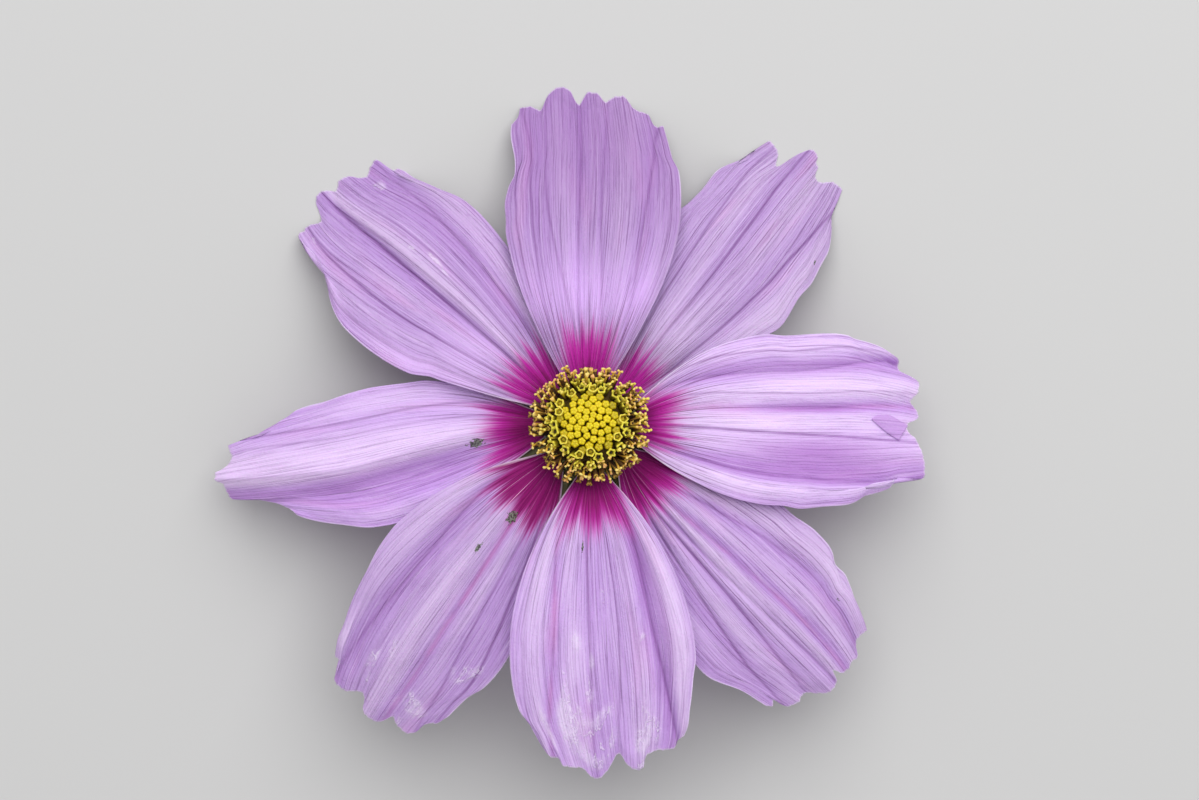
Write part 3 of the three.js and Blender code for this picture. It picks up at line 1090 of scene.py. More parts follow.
@dataclass(frozen=True)
class Petal:
    """One ray petal: its outline is that of the solid, and its folds are finer."""

    side: str
    seed: int
    azimuth: float
    droop: float
    edges: tuple[int, int]
    left: Side
    right: Side
    tip: Line
    pleats: tuple[Pleat, ...]
    finish: PetalFinish
    end_heights: tuple[float, float] = (0.0, 0.0)
    curls: tuple[Curl, ...] = ()
    # Painted shade: darker patches on the sides of folds that face away from the light, and a
    # darker outer half on the north petal
    painted_shades: Patches = ()
    # Painted highlight: paler patches on ridges, pillows and turned edges that face the light
    gleams: Patches = ()
    marks: Patches = ()
    specks: Patches = ()
    flap: Flap | None = None
    rows: int = 96
    columns: int = 161
    thickness: float = 0.3
    rim_thickness: float = 0.13
    rim_width: float = 1.6
    claw_thickness: float = 0.45
    settles: float = 0.55
    pleat_scale: float = 1.25
    ripple: float = 0.65

    def tip_distances(self, across: Array) -> Array:
        """Distance of the tip from the head axis over the petal's width.

        Args:
            across: Shares of the width.

        Returns:
            Distances.
        """
        points = self.tip[::-1]
        right, left = points[0][1], points[-1][1]
        shares = [(offset - right) / (left - right) for _, offset in points]
        distance = monotone_curve(shares, [d for d, _ in points], across)
        draw = np.random.default_rng(self.seed)
        for waves, depth in ((11, 0.03), (23, 0.025), (41, 0.02)):
            distance = distance + depth * np.sin(TAU * (waves * across + draw.random()))
        return distance

    def plan(self, along: Array, across: Array) -> tuple[Array, Array]:
        """The petal seen from above.

        Args:
            along: Shares of the length.
            across: Shares of the width.

        Returns:
            Distance and offset of each point.
        """
        left, right = self.tip[0], self.tip[-1]
        distance = CLAW_START + along * (self.tip_distances(across) - CLAW_START)
        left_y = self.left.width(left, CLAW_START + along * (left[0] - CLAW_START))
        right_y = -self.right.width(right, CLAW_START + along * (right[0] - CLAW_START))
        offset = right_y + (left_y - right_y) * across + self.left.trimmed(along) * across**6
        return distance, offset - self.right.trimmed(along) * (1 - across) ** 6

    def body_height(self, across: Array, distance: Array) -> Array:
        """Height of the middle surface without its folds.

        Args:
            across: Shares of the width.
            distance: Distances from the head axis.

        Returns:
            Heights.
        """
        climb = PETAL_RISE * smooth(distance, CLAW_START, CLAW_START + RISE_LENGTH)
        sag = self.droop * (np.maximum(0, distance - CLAW_START) / DROOP_LENGTH) ** DROOP_POWER
        side = 2 * across - 1
        left, right = self.edges
        whole = right + (left - right) * across
        edge = np.where(side > 0, left, right) * smooth(np.abs(side), 0, 0.8)
        spread = smooth(distance, CLAW_START + 1, CLAW_START + RISE_LENGTH)
        grown = smooth(distance, CLAW_START, CLAW_START + LIFT_LENGTH)
        lift = EDGE_LIFT * (CLAW_LIFT + (1 - CLAW_LIFT) * grown)
        return CLAW_HEIGHT + climb - sag + lift * (whole + (edge - whole) * spread)

    def folds(self, along: Array, across: Array, width: Array) -> tuple[Array, Array, Array]:
        """Height of the pleats, and strength of the dark and of the pink lines in them.

        Args:
            along: Shares of the length, one for each row.
            across: Shares of the width, one for each column.
            width: Whole width of each row in millimetres.

        Returns:
            Heights, dark lines and pink lines, as grids.
        """
        pleats = sorted(self.pleats, key=lambda pleat: pleat.path[1])
        paths = np.stack([0 * along, *(p.across(along) for p in pleats), 0 * along + 1], 1)
        for k in range(1, paths.shape[1]):
            paths[:, k] = np.maximum(paths[:, k], paths[:, k - 1] + 0.006)
        paths /= np.maximum(paths[:, -1:], 1.0)
        first, last = (end * smooth(along, 0.1, 0.5) for end in self.end_heights)
        rises = [p.height * self.pleat_scale * smooth(along, *p.grows) for p in pleats]
        heights = np.stack([first, *rises, last], 1)
        creases = np.array([0.5, *(p.crease for p in pleats), 0.5]) * 1.5
        fade = 0.25 + 0.75 * smooth(along, 0.02, 0.2) * (1 - 0.55 * smooth(along, 0.75, 1.0))
        out, lines, pinks = (np.zeros((len(along), len(across))) for _ in range(3))
        for i, path in enumerate(paths):
            k = np.clip(np.searchsorted(path, across, side="right") - 1, 0, len(path) - 2)
            t = np.clip((across - path[k]) / (path[k + 1] - path[k]), 0, 1)
            leave, arrive = t**3 - 2 * t**2 + t, t**3 - t**2
            rise = leave * creases[k] + (3 * t**2 - 2 * t**3) + arrive * creases[k + 1]
            out[i] = heights[i, k] + (heights[i, k + 1] - heights[i, k]) * rise
            for pleat, centre in zip(pleats, path[1:]):
                gap = (across - centre) * width[i]
                lines[i] = np.maximum(lines[i], pleat.line * (fade[i] * bell(gap, 0, LINE_WIDTH)))
                pinks[i] = np.maximum(pinks[i], pleat.pink * (fade[i] * bell(gap, 0, PINK_WIDTH)))
        return out, lines, pinks

    def ripples(self, along: Array, across: Array) -> Array:
        """Fine waves between the pleats, and unevenness along the petal.

        Args:
            along: Shares of the length.
            across: Shares of the width.

        Returns:
            Heights.
        """
        draw = np.random.default_rng(self.seed + RIPPLE_SEED)
        total = np.zeros_like(across)
        for waves, depth in ((7, 0.035), (11, 0.018), (16, 0.01), (23, 0.006)):
            phase, bend, speed = draw.random(3)
            sway = bend * np.sin(TAU * (along * (0.6 + speed) + phase))
            total += depth * np.sin(TAU * (waves * across + phase + 0.6 * sway))
        for waves, cells, depth in ((2.2, 3.1, 0.14), (3.7, 5.3, 0.07), (6.1, 9.2, 0.035)):
            phase = draw.random(2)
            total += (depth * np.sin(TAU * (waves * across + phase[0]))
                      * np.sin(TAU * (cells * along + phase[1])))
        return total * self.ripple * smooth(along, 0.08, 0.4)

    def patches(self, places: Patches, along: Array, across: Array) -> Array:
        """Soft patches from 0 to 1.

        Args:
            places: For each its place and half size along, then across, and its strength.
            along: Shares of the length.
            across: Shares of the width.

        Returns:
            Their sum at each point.
        """
        total = np.zeros_like(across)
        for here, half_along, aside, half_across, strength in places:
            patch = bell(along, here, half_along) * bell(across, aside, half_across)
            total = total + strength * patch
        return np.clip(total, 0, 1)

    def grid(self) -> tuple[Array, Array]:
        """Where the rows and the columns are, closer near the rim.

        Returns:
            Shares of the length by row, and of the width by column.
        """
        length, width = np.linspace(0, 1, self.rows), np.linspace(0, 1, self.columns)
        eased = 0.5 - 0.5 * np.cos(np.pi * width)
        return 0.25 * (1 - (1 - length) ** 2) + 0.75 * length, 0.35 * eased + 0.65 * width

    def build(self) -> MeshData:
        """Closed thin blade with its UV map and the values that its finish reads.

        Returns:
            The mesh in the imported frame.
        """
        rows, columns = self.grid()
        along, across = np.meshgrid(rows, columns, indexing="ij")
        distance, offset = self.plan(along, across)
        width = offset[:, -1] - offset[:, 0]
        pleated, lines, pinks = self.folds(rows, columns, width)
        height = self.body_height(across, distance) + pleated + self.ripples(along, across)
        for curl in self.curls:
            near = bell(across, curl.across, curl.half)
            height = height + curl.height * near * smooth(along, curl.start, 1.0)
        gap = np.minimum(np.minimum(across, 1 - across) * width[:, None],
                         (1 - along) * (distance[-1] - CLAW_START))
        body = self.thickness - self.rim_thickness
        thick = self.rim_thickness + body * smooth(gap, 0, self.rim_width)
        claw = self.claw_thickness * (1 - smooth(distance, CLAW_START, CLAW_START + 2))
        thick = np.maximum(thick, claw)
        settled = smooth(along, self.settles, 1.0)
        under = height - CAD_THICKNESS / 2 * settled - thick / 2 * (1 - settled)
        azimuth = math.radians(self.azimuth)
        flat = turned(np.stack([distance, offset, under], 2).reshape(-1, 3), azimuth)
        under = np.maximum(under, HEAD.surface_under(flat).reshape(under.shape))
        points, faces = shell(np.stack([distance, offset, under + thick], 2),
                              np.stack([distance, offset, under], 2))
        values = {"reach": distance, "offset": offset, "rise": under + thick, "fold": pleated,
                  "line": lines, "pink": pinks, "gap": gap}
        # Patches per point: painted shade, painted highlight, rain marks and crumbs
        for key, places in (("tone", self.painted_shades), ("gleam", self.gleams), ("mark", self.marks),
                            ("speck", self.specks)):
            values[key] = self.patches(places, along, across)
        both = {key: np.tile(value.ravel(), 2) for key, value in values.items()}
        for key in ("mark", "speck"):
            both[key][along.size:] = 0.0
        uv = np.tile(np.stack([across.ravel(), along.ravel()], 1), (2, 1))
        return MeshData(HEAD.place(turned(points, azimuth)), faces, both, uv)

    def folded(self, flap: Flap, body: MeshData) -> MeshData:
        """The folded lobe, laid on the finished blade.

        Args:
            flap: Its edges and thickness.
            body: The blade that it lies on.

        Returns:
            The lobe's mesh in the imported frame.
        """
        share, side = np.linspace(0, 1, flap.rows), np.linspace(0, 1, flap.columns)
        low, high = flap.edge(flap.low), flap.edge(flap.high)
        flat = (low[:, None] + (high - low)[:, None] * side[None, :, None]).reshape(-1, 2)
        half = self.rows * self.columns
        reach, offset, rise = (body.values[key][:half] for key in ("reach", "offset", "rise"))
        heights, places = [], []
        for distance, aside in flat:
            gap = (reach - distance) ** 2 + (offset - aside) ** 2
            near = np.argpartition(gap, 5)[:5]
            weight = 1 / (gap[near] + 1e-3)
            heights.append(float(np.sum(rise[near] * weight) / weight.sum()))
            places.append((body.uv[near] * weight[:, None]).sum(0) / weight.sum())
        along, across = np.meshgrid(share, side, indexing="ij")
        bulge = np.sin(np.pi * across) * np.sin(np.pi * np.clip(along, 0, 0.8))
        under = np.array(heights) + 0.04 + flap.lift * bulge.ravel()
        grid = (flap.rows, flap.columns, 3)
        points, faces = shell(np.column_stack([flat, under + flap.thickness]).reshape(grid),
                              np.column_stack([flat, under]).reshape(grid))
        values = {key: np.zeros(len(points)) for key in body.values}
        values["reach"] = np.tile(flat[:, 0], 2)
        values["gap"] = values["gap"] + 1.0
        values["tone"] = values["tone"] + flap.tone
        return MeshData(HEAD.place(turned(points, math.radians(self.azimuth))), faces, values,
                        np.tile(np.array(places), (2, 1)))

    def make(self) -> list[Piece]:
        """Makes the piece that stands for the solid petal.

        Returns:
            The piece.
        """
        body = self.build()
        if self.flap is not None:
            body = MeshData.merged([body, self.folded(self.flap, body)])
        name, finish = f"petal_{self.side}_fine", self.finish.build(self.side, self.seed)
        piece = linked(name, body.to_mesh(name, finish))
        return [install(piece, "petals", "petal_" + self.side)]


# The eight petals, clockwise from the one that points to +Y
PETALS = (
    Petal(
        "north", 1, 89.5, 7, (1, 1),
        Side(2.7, 9.9, 26, 1.9, ((0.46, 0), (0.54, 0.09), (0.6, -0.06), (0.66, 0.02),
            (0.73, -0.32), (0.79, -0.95), (0.82, -0.92), (0.98, 0), (1, 0))),
        Side(2, 10.2, 25, 1.7, ((0.63, 0), (0.71, 0.14), (0.81, 0.26), (0.87, -0.17),
            (0.97, -0.08), (1, 0))),
        ((36.5, 9.44), (37.76, 8.6), (38.84, 8.5), (38.96, 7.3), (38.44, 6.1), (40.32, 5.3),
         (41.2, 4.2), (41.36, 3.5), (40.8, 2.6), (39.56, 1.9), (39.36, 1.6), (40.8, 0.5),
         (40.64, -0.5), (39.68, -1.5), (40.28, -2.7), (40.36, -3.5), (38.72, -4.9), (38.32, -5.5),
         (38.12, -6.4), (36.52, -7.2), (36.32, -7.5), (36.4, -8.2), (36, -8.36)),
        (
            Pleat((0.015, 0.06, 0.012), 0.05, 0.1, 0.3),
            Pleat((0.122, 0.203, 0.04), -0.2, 0.9, 0.6),
            Pleat((0.25, 0.32, 0.2), 0.15),
            Pleat((0.361, 0.445, 0.367), -0.05, 0.6, 0.5),
            Pleat((0.49, 0.51, 0.45), 0.12, 0.1, 0.4),
            Pleat((0.585, 0.58, 0.554), -0.16, 0.9, 0.7),
            Pleat((0.61, 0.66, 0.66), 0.1),
            Pleat((0.64, 0.744, 0.78), -0.08, 0.6, 0.5),
            Pleat((0.88, 0.845, 0.93), -0.16, 0.8, 0.6),
            Pleat((0.97, 0.94, 0.975), 0.05, 0.1, 0.4),
        ),
        PetalFinish(0.7, 10.7, 2.6, 6.2, margin=(3.2, 4.0), veining=0.7, claw_rim=0.12,
            gleam=LILAC_BRIGHT, glint=0.15),
        end_heights=(0.0, -0.15),
        curls=(Curl(0.72, 0.09, 0.5), Curl(0.48, 0.07, 0.35), Curl(0.3, 0.07, 0.3)),
        painted_shades=((0.86, 0.34, 0.5, 0.9, 0.55),),
        gleams=((0.27, 0.13, 0.5, 0.6, 0.6), (0.36, 0.2, 0.6, 0.05, 0.3),
            (0.3, 0.2, 0.13, 0.06, 0.3)),
    ),
    Petal(
        "northeast", 2, 50.5, 7.4, (-1, -1),
        Side(1.5, 8.8, 30, 2, ((0.64, 0), (0.72, -0.55), (0.78, -0.64), (0.91, 0.03),
            (0.97, -0.05), (1, 0))),
        Side(1.5, 8.8, 24, 1.8, ((0.48, 0), (0.56, 0.44), (0.69, 0.02), (0.78, 0.38), (0.84, 0.35),
            (0.91, 0.53), (0.97, 0.24), (1, 0))),
        ((37, 7.12), (38.12, 6.3), (40.44, 6.2), (40.52, 5.6), (40.24, 4.7), (39.96, 4.3),
         (38.76, 3.6), (41.32, 2.6), (42.96, 1.5), (42.68, 0.5), (42.08, 0.3), (41.72, -0.3),
         (41.24, -0.4), (40.52, -1.2), (41.68, -3), (41.6, -4.1), (40.04, -4.3), (39.08, -4.7),
         (37, -6.08)),
        (
            Pleat((0.1, 0.08, 0.03), 0.12, 0.4, 0.3),
            Pleat((0.192, 0.233, 0.125), -0.15, 0.9, 0.8),
            Pleat((0.42, 0.436, 0.375), 0.12, 0.1, 0.3),
            Pleat((0.54, 0.555, 0.6), -0.17, 0.9, 0.8),
            Pleat((0.65, 0.66, 0.72), 0.12, 0.0, 0.2),
            Pleat((0.76, 0.765, 0.85), -0.1, 0.5, 0.5),
        ),
        PetalFinish(0.74, 10.1, 2.4, 6.0, margin=(2.4, 3.0), veining=0.7, painted_sheen=0.1, claw_rim=0.3,
            glint=0.15),
        end_heights=(-0.25, 0.0),
        curls=(Curl(0.53, 0.1, 0.4), Curl(0.15, 0.1, -0.3)),
        gleams=((0.5, 0.3, 0.05, 0.09, 0.45), (0.25, 0.15, 0.5, 0.4, 0.3)),
        specks=((0.816, 0.011, 0.055, 0.014, 0.8),),
    ),
    Petal(
        "east", 3, -1, 5, (1, 1),
        Side(2.9, 11.2, 26, 2.5, ((0.49, 0), (0.57, -0.39), (0.81, 0.2), (0.84, 0.02),
            (0.95, 0.22), (0.98, 0.1), (1, 0))),
        Side(1.5, 8.6, 21, 2, ((0.58, 0), (0.66, 0.38), (0.73, 0.35), (0.84, 0.55), (0.87, 0.45),
            (0.91, 0.02), (0.98, 0.06), (1, 0))),
        ((34.6, 9.24), (35.16, 8.8), (35.12, 8), (37.04, 6.8), (37.52, 6.2), (37.28, 5.1),
         (36.52, 4.2), (37.28, 3.4), (37.44, 3), (37.36, 2.3), (36.16, 1.5), (36.04, 1),
         (36.28, 0.5), (36.92, 0), (37.6, -1.4), (38.04, -2.9), (38.12, -4.2), (37.72, -4.7),
         (34.96, -4.8), (34.44, -5.2), (34.08, -5.9), (33.6, -6.15)),
        (
            Pleat((0.075, 0.09, 0.06), 0.12, 0.1),
            Pleat((0.165, 0.17, 0.105), -0.65, 1.0, 0.5),
            Pleat((0.37, 0.365, 0.31), 0.25),
            Pleat((0.434, 0.422, 0.36), 0.1, 0.7, 0.8),
            Pleat((0.5, 0.51, 0.5), 0.2),
            Pleat((0.6, 0.565, 0.63), -0.36, 1.0, 0.1, (0.3, 0.65), 0.3),
            Pleat((0.72, 0.65, 0.72), 0.3, 0.2, 0.5),
            Pleat((0.86, 0.785, 0.95), -0.62, 1.0, 0.35),
            Pleat((0.965, 0.9, 0.985), 0.15, 0.1, 0.5),
        ),
        PetalFinish(0.97, 9.7, 2.4, 6.5, margin=(2.4, 3.0), veining=0.5, painted_sheen=0.15),
        end_heights=(-0.45, 0.0),
        curls=(Curl(0.9, 0.12, -0.9, 0.82), Curl(0.66, 0.1, -0.7, 0.84)),
        painted_shades=((0.62, 0.25, 0.57, 0.035, 0.65), (0.62, 0.35, 0.2, 0.06, 0.5),
            (0.6, 0.3, 0.83, 0.03, 0.4), (0.62, 0.3, 0.31, 0.09, 0.85)),
        gleams=((0.62, 0.28, 0.72, 0.06, 0.6), (0.45, 0.3, 0.47, 0.035, 0.4),
            (0.45, 0.3, 0.06, 0.04, 0.3)),
        flap=Flap(((31.9, 1.7), (32.9, 0.85), (33.8, 0.2), (35.0, -0.5)), ((31.9, 1.8),
            (32.7, 2.25), (33.7, 2.35), (35.0, 1.85), (36.1, 1.3))),
    ),
    Petal(
        "southeast", 4, -46, 7, (-1, -1),
        Side(2.2, 10.3, 27, 1.9, ((0.51, 0), (0.59, -0.31), (0.69, 0.05), (0.76, 0.09),
            (0.79, -0.05), (0.83, -0.52), (0.89, -0.02), (0.96, -0.02), (1, 0))),
        Side(0.6, 9.8, 26, 1.9, ((0.69, 0), (0.77, 0.2), (0.9, -0.51), (0.97, -0.2), (1, 0))),
        ((35.2, 8.05), (36.16, 7.4), (37.52, 7.3), (37.8, 7), (37.72, 5.7), (39.28, 4.1),
         (39.16, 3.3), (39.48, 2.6), (39.32, 1.7), (38.4, 1.1), (39.48, 0.7), (39.88, -0.5),
         (38.96, -1.9), (38, -2.8), (37.96, -3.5), (38.2, -4), (37.76, -5.2), (37.32, -5.6),
         (36.08, -6), (36.44, -6.5), (36, -7.08)),
        (
            Pleat((0.251, 0.264, 0.1), -0.2, 0.8, 0.7),
            Pleat((0.3, 0.33, 0.2), 0.08),
            Pleat((0.322, 0.39, 0.285), -0.1, 0.8, 0.7),
            Pleat((0.36, 0.42, 0.42), 0.1),
            Pleat((0.4, 0.455, 0.5), -0.12, 0.8, 0.6),
            Pleat((0.44, 0.505, 0.555), 0.3, 0.3, 0.1),
            Pleat((0.485, 0.565, 0.615), -0.32, 0.9, 0.2, pink=0.35),
            Pleat((0.56, 0.66, 0.7), 0.22),
            Pleat((0.64, 0.78, 0.8), -0.18, 0.3, 0.4),
            Pleat((0.7, 0.855, 0.87), 0.25, 0.3, 0.2),
        ),
        PetalFinish(0.8, 11.6, 2.2, 9.2, veining=0.75, glint=1.0),
        end_heights=(-0.15, 0.1),
        curls=(Curl(0.6, 0.06, 0.3), Curl(0.35, 0.08, -0.3)),
        gleams=((0.5, 0.3, 0.47, 0.03, 0.4), (0.6, 0.25, 0.3, 0.04, 0.35),
            (0.5, 0.25, 0.12, 0.05, 0.3), (0.8, 0.12, 0.93, 0.05, 0.4)),
        specks=((0.857, 0.009, 0.856, 0.01, 0.8),),
    ),
    Petal(
        "south", 5, -86.5, 5, (1, 1),
        Side(1.5, 10.2, 26, 1.9, ((0.72, 0), (0.8, -0.24), (0.9, -0.16), (0.97, 0.1), (1, 0))),
        Side(1.6, 10.3, 25, 1.8, ((0.65, 0), (0.73, 0.13), (0.87, 0.4), (0.93, -0.02),
            (0.97, -0.02), (1, 0))),
        ((35, 8.4), (35.44, 7.6), (35.96, 7.4), (36.28, 7), (36.28, 5.5), (36.6, 4.4), (36.96, 4),
         (38.08, 3.7), (38.28, 3.1), (38.24, 2.7), (37.56, 1.9), (36.4, 1.1), (38.28, -0.4),
         (38.92, -1.4), (38.88, -1.8), (37.72, -3.1), (37.4, -5.1), (36.44, -5.7), (36.44, -6.2),
         (36.12, -6.7), (35, -7.48)),
        (
            Pleat((0.03, 0.07, 0.02), 0.0, 0.3, 0.35),
            Pleat((0.06, 0.15, 0.05), 0.22),
            Pleat((0.114, 0.232, 0.08), -0.18, 0.9, 0.4, pink=0.3),
            Pleat((0.25, 0.33, 0.2), 0.1),
            Pleat((0.403, 0.436, 0.379), -0.1, 0.6, 0.6),
            Pleat((0.58, 0.6, 0.532), 0.0, 0.4, 0.35),
            Pleat((0.7, 0.69, 0.72), 0.12, 0.1, 0.3),
            Pleat((0.84, 0.78, 0.945), -0.5, 1.0, 0.6),
            Pleat((0.94, 0.905, 0.985), 0.42, 0.1, 0.3),
        ),
        PetalFinish(0.86, 11.7, 2.6, 9.2, 1.0, (2.6, 3.4), 0.5),
        end_heights=(-0.1, 0.1),
        curls=(Curl(0.6, 0.1, 0.4), Curl(0.35, 0.1, -0.4)),
        painted_shades=((0.28, 0.2, 0.8, 0.05, 0.8), (0.55, 0.25, 0.86, 0.03, 0.5)),
        gleams=((0.4, 0.3, 0.1, 0.06, 0.4), (0.45, 0.25, 0.93, 0.04, 0.3),
            (0.6, 0.12, 0.36, 0.05, 0.3)),
        specks=((0.251, 0.022, 0.384, 0.012, 0.85),),
        marks=((0.588, 0.012, 0.727, 0.02, 1.0), (0.56, 0.04, 0.36, 0.04, 0.8),
            (0.635, 0.03, 0.44, 0.015, 1.0), (0.72, 0.05, 0.42, 0.03, 0.9),
            (0.8, 0.05, 0.3, 0.07, 1.0), (0.84, 0.04, 0.45, 0.09, 1.0),
            (0.88, 0.09, 0.14, 0.03, 1.0), (0.93, 0.05, 0.4, 0.14, 1.0),
            (0.75, 0.05, 0.64, 0.02, 0.9), (0.93, 0.05, 0.75, 0.07, 1.0),
            (0.81, 0.04, 0.71, 0.02, 0.8), (0.72, 0.05, 0.28, 0.02, 1.0),
            (0.45, 0.05, 0.52, 0.02, 0.6), (0.9, 0.05, 0.7, 0.05, 0.8),
            (0.86, 0.06, 0.25, 0.05, 0.8)),
    ),
    Petal(
        "southwest", 6, -128, 6, (-1, 1),
        Side(0.4, 8.8, 28, 1.9, ((0.65, 0), (0.73, 0.06), (0.83, -0.08), (0.9, -0.52),
            (0.97, -0.23), (1, 0))),
        Side(2.2, 10.4, 25, 1.8, ((0.57, 0), (0.65, -0.2), (0.79, -0.47), (0.89, -0.46),
            (0.96, -0.02), (1, 0))),
        ((35, 7.32), (36.24, 6.8), (37.32, 5.7), (38.56, 5.4), (39.32, 4.5), (39.32, 3.5),
         (38.84, 2.3), (39.72, 1.8), (40.48, 1), (40.56, -0.3), (40.32, -0.7), (39.08, -1.5),
         (38.84, -2), (39.76, -3.5), (39.92, -4.3), (39.64, -5.3), (37.52, -6), (37.56, -6.6),
         (37.36, -6.9), (34.76, -7), (34.2, -7.26)),
        (
            Pleat((0.05, 0.12, 0.05), 0.12),
            Pleat((0.121, 0.245, 0.13), -0.38, 0.5, 0.4),
            Pleat((0.3, 0.36, 0.3), 0.08, 0.2, 0.2),
            Pleat((0.47, 0.5, 0.5), 0.22, 0.3, 0.1),
            Pleat((0.575, 0.6, 0.62), -0.22, 0.8, 0.4, pink=0.35),
            Pleat((0.67, 0.67, 0.74), 0.1),
            Pleat((0.76, 0.735, 0.86), -0.1, 0.6, 0.5),
            Pleat((0.84, 0.87, 0.955), -0.12, 0.8, 0.7),
        ),
        PetalFinish(0.77, 13.0, 3.0, 12.2, 0.7, (2.4, 3.0), 0.45, glint=0.8),
        end_heights=(0.0, -0.05),
        curls=(Curl(0.1, 0.06, 0.45), Curl(0.7, 0.1, -0.3)),
        gleams=((0.55, 0.3, 0.45, 0.03, 0.35), (0.35, 0.25, 0.06, 0.05, 0.35),
            (0.92, 0.07, 0.08, 0.06, 0.5)),
        specks=((0.232, 0.028, 0.552, 0.055, 0.95), (0.376, 0.022, 0.483, 0.022, 0.82)),
        marks=((0.75, 0.035, 0.85, 0.08, 1.0), (0.883, 0.04, 0.335, 0.03, 1.0),
            (0.92, 0.03, 0.72, 0.12, 1.0), (0.86, 0.02, 0.5, 0.02, 0.8),
            (0.8, 0.05, 0.42, 0.05, 0.6), (0.95, 0.02, 0.36, 0.012, 0.8)),
    ),
    Petal(
        "west", 7, -173.5, 7, (-1, -1),
        Side(0.4, 8.1, 23, 1.6, ((0.57, 0), (0.65, 0.16), (0.72, 0.25), (0.83, 0.03), (0.97, 0.07),
            (1, 0))),
        Side(2.6, 7.8, 20, 1.6, ((0.42, 0), (0.5, -0.24), (0.66, 0), (0.8, 0), (0.93, 0.35),
            (0.97, 0.05), (1, 0))),
        ((34, 5.52), (35.24, 4.3), (36.48, 3.6), (38.96, 2.7), (41.64, 2.2), (41.96, 1.9),
         (42.48, 0.5), (43.28, 0), (43.2, -0.9), (42.4, -1.1), (41.24, -2.2), (41.16, -2.6),
         (41.52, -3.8), (41.4, -4), (38.48, -4.1), (37.76, -4.6), (35, -5.68)),
        (
            Pleat((0.1, 0.225, 0.12), -0.12, 0.6, 0.6),
            Pleat((0.284, 0.339, 0.24), 0.1, 0.1, 0.4),
            Pleat((0.5, 0.577, 0.5), 0.72, 0.7, 0.15),
            Pleat((0.76, 0.745, 0.68), -0.5, 0.1, 0.1),
            Pleat((0.86, 0.915, 0.85), -0.05, 0.2, 0.3),
        ),
        PetalFinish(0.98, 11.6, 2.4, 8.7, veining=0.45),
        end_heights=(-0.1, -0.25),
        curls=(Curl(0.75, 0.14, -0.5),),
        painted_shades=((0.5, 0.35, 0.66, 0.05, 0.45),),
        gleams=((0.5, 0.35, 0.4, 0.12, 0.3), (0.6, 0.2, 0.93, 0.05, 0.3),
            (0.52, 0.28, 0.12, 0.1, 0.45)),
        specks=((0.205, 0.028, 0.625, 0.055, 0.95),),
    ),
    Petal(
        "northwest", 8, 137.5, 7.9, (1, -1),
        Side(1.6, 10.1, 28, 1.9, ((0.42, 0), (0.5, 0.63), (0.96, 0), (1, 0))),
        Side(1.5, 10.6, 29, 1.8, ((0.47, 0), (0.55, -0.16), (0.74, -0.28), (0.86, -0.73),
            (0.93, -0.66), (0.96, -0.47), (1, 0))),
        ((33, 8.32), (34.24, 7.5), (38.56, 5.8), (40.56, 5.7), (41.32, 5), (41.24, 4.5),
         (41.44, 4), (41.28, 3.4), (40.56, 2.3), (42.72, 0.9), (43, 0.4), (43.08, -0.1),
         (42.76, -0.7), (41.8, -1.6), (42.28, -2.7), (42, -3.6), (40.6, -4.7), (40.24, -5.4),
         (40.68, -6.3), (40.8, -7.3), (40.52, -7.5), (38.56, -7.7), (38.24, -8.3), (37.4, -8.69)),
        (
            Pleat((0.096, 0.085, 0.045), 0.28, 0.1, 0.2),
            Pleat((0.165, 0.205, 0.09), -0.3, 0.5, 0.4),
            Pleat((0.368, 0.361, 0.385), -0.05, 0.3, 0.5),
            Pleat((0.46, 0.475, 0.44), 0.4, 0.2),
            Pleat((0.543, 0.535, 0.491), -0.28, 1.0, 0.9),
            Pleat((0.65, 0.66, 0.6), 0.05),
            Pleat((0.77, 0.78, 0.73), -0.08, 0.6, 0.8),
            Pleat((0.86, 0.86, 0.86), 0.1),
            Pleat((0.944, 0.932, 0.943), -0.1, 0.6, 0.6),
        ),
        PetalFinish(0.76, 10.9, 2.2, 7.4, 0.5, veining=0.7, gleam=(0.82, 0.56, 0.97, 1)),
        end_heights=(-0.1, -0.2),
        curls=(Curl(0.86, 0.05, 0.4), Curl(0.5, 0.06, 0.35)),
        gleams=((0.5, 0.3, 0.95, 0.05, 0.6), (0.9, 0.08, 0.9, 0.06, 0.5),
            (0.5, 0.3, 0.12, 0.05, 0.35), (0.27, 0.12, 0.7, 0.3, 0.4)),
        marks=((0.942, 0.02, 0.208, 0.04, 1.0), (0.575, 0.035, 0.381, 0.02, 0.9),
            (0.66, 0.02, 0.42, 0.02, 0.7), (0.52, 0.02, 0.4, 0.015, 0.7)),
    ),
)
AZIMUTHS = tuple(petal.azimuth for petal in PETALS)
NO_TUBE_FOLLOWS = (0.31, 0.77, 0.56)


def lathe(profile: Profile, sides: int, lobes: Lobing | None = None) -> MeshData:
    """A turned shape with closed poles.

    Args:
        profile: Rows of radius, height and rise value, from the foot to the top.
        sides: Corners in a row.
        lobes: Gives the change of radius (as a factor) and of height round a row.

    Returns:
        The mesh, with the rise value of its corners.
    """
    angles = np.arange(sides) / sides * TAU
    points, rise, rows, faces = [], [], [], []
    for k, (radius, height, value) in enumerate(profile):
        start = len(points)
        if radius == 0:
            rows.append([start] * sides)
            points.append((0.0, 0.0, height))
        else:
            rows.append([start + j for j in range(sides)])
            factor, lift = lobes(angles, k) if lobes else (np.ones(sides), np.zeros(sides))
            points += [(radius * f * math.cos(a), radius * f * math.sin(a), height + dz)
                       for a, f, dz in zip(angles, factor, lift)]
        rise += [value] * (len(points) - start)
    for low, high in zip(rows, rows[1:]):
        for j in range(sides):
            n = (j + 1) % sides
            corners = tuple(dict.fromkeys((low[j], low[n], high[n], high[j])))
            if len(corners) > 2:
                faces.append(corners)
    return MeshData(np.array(points), faces, {"rise": np.array(rise)})


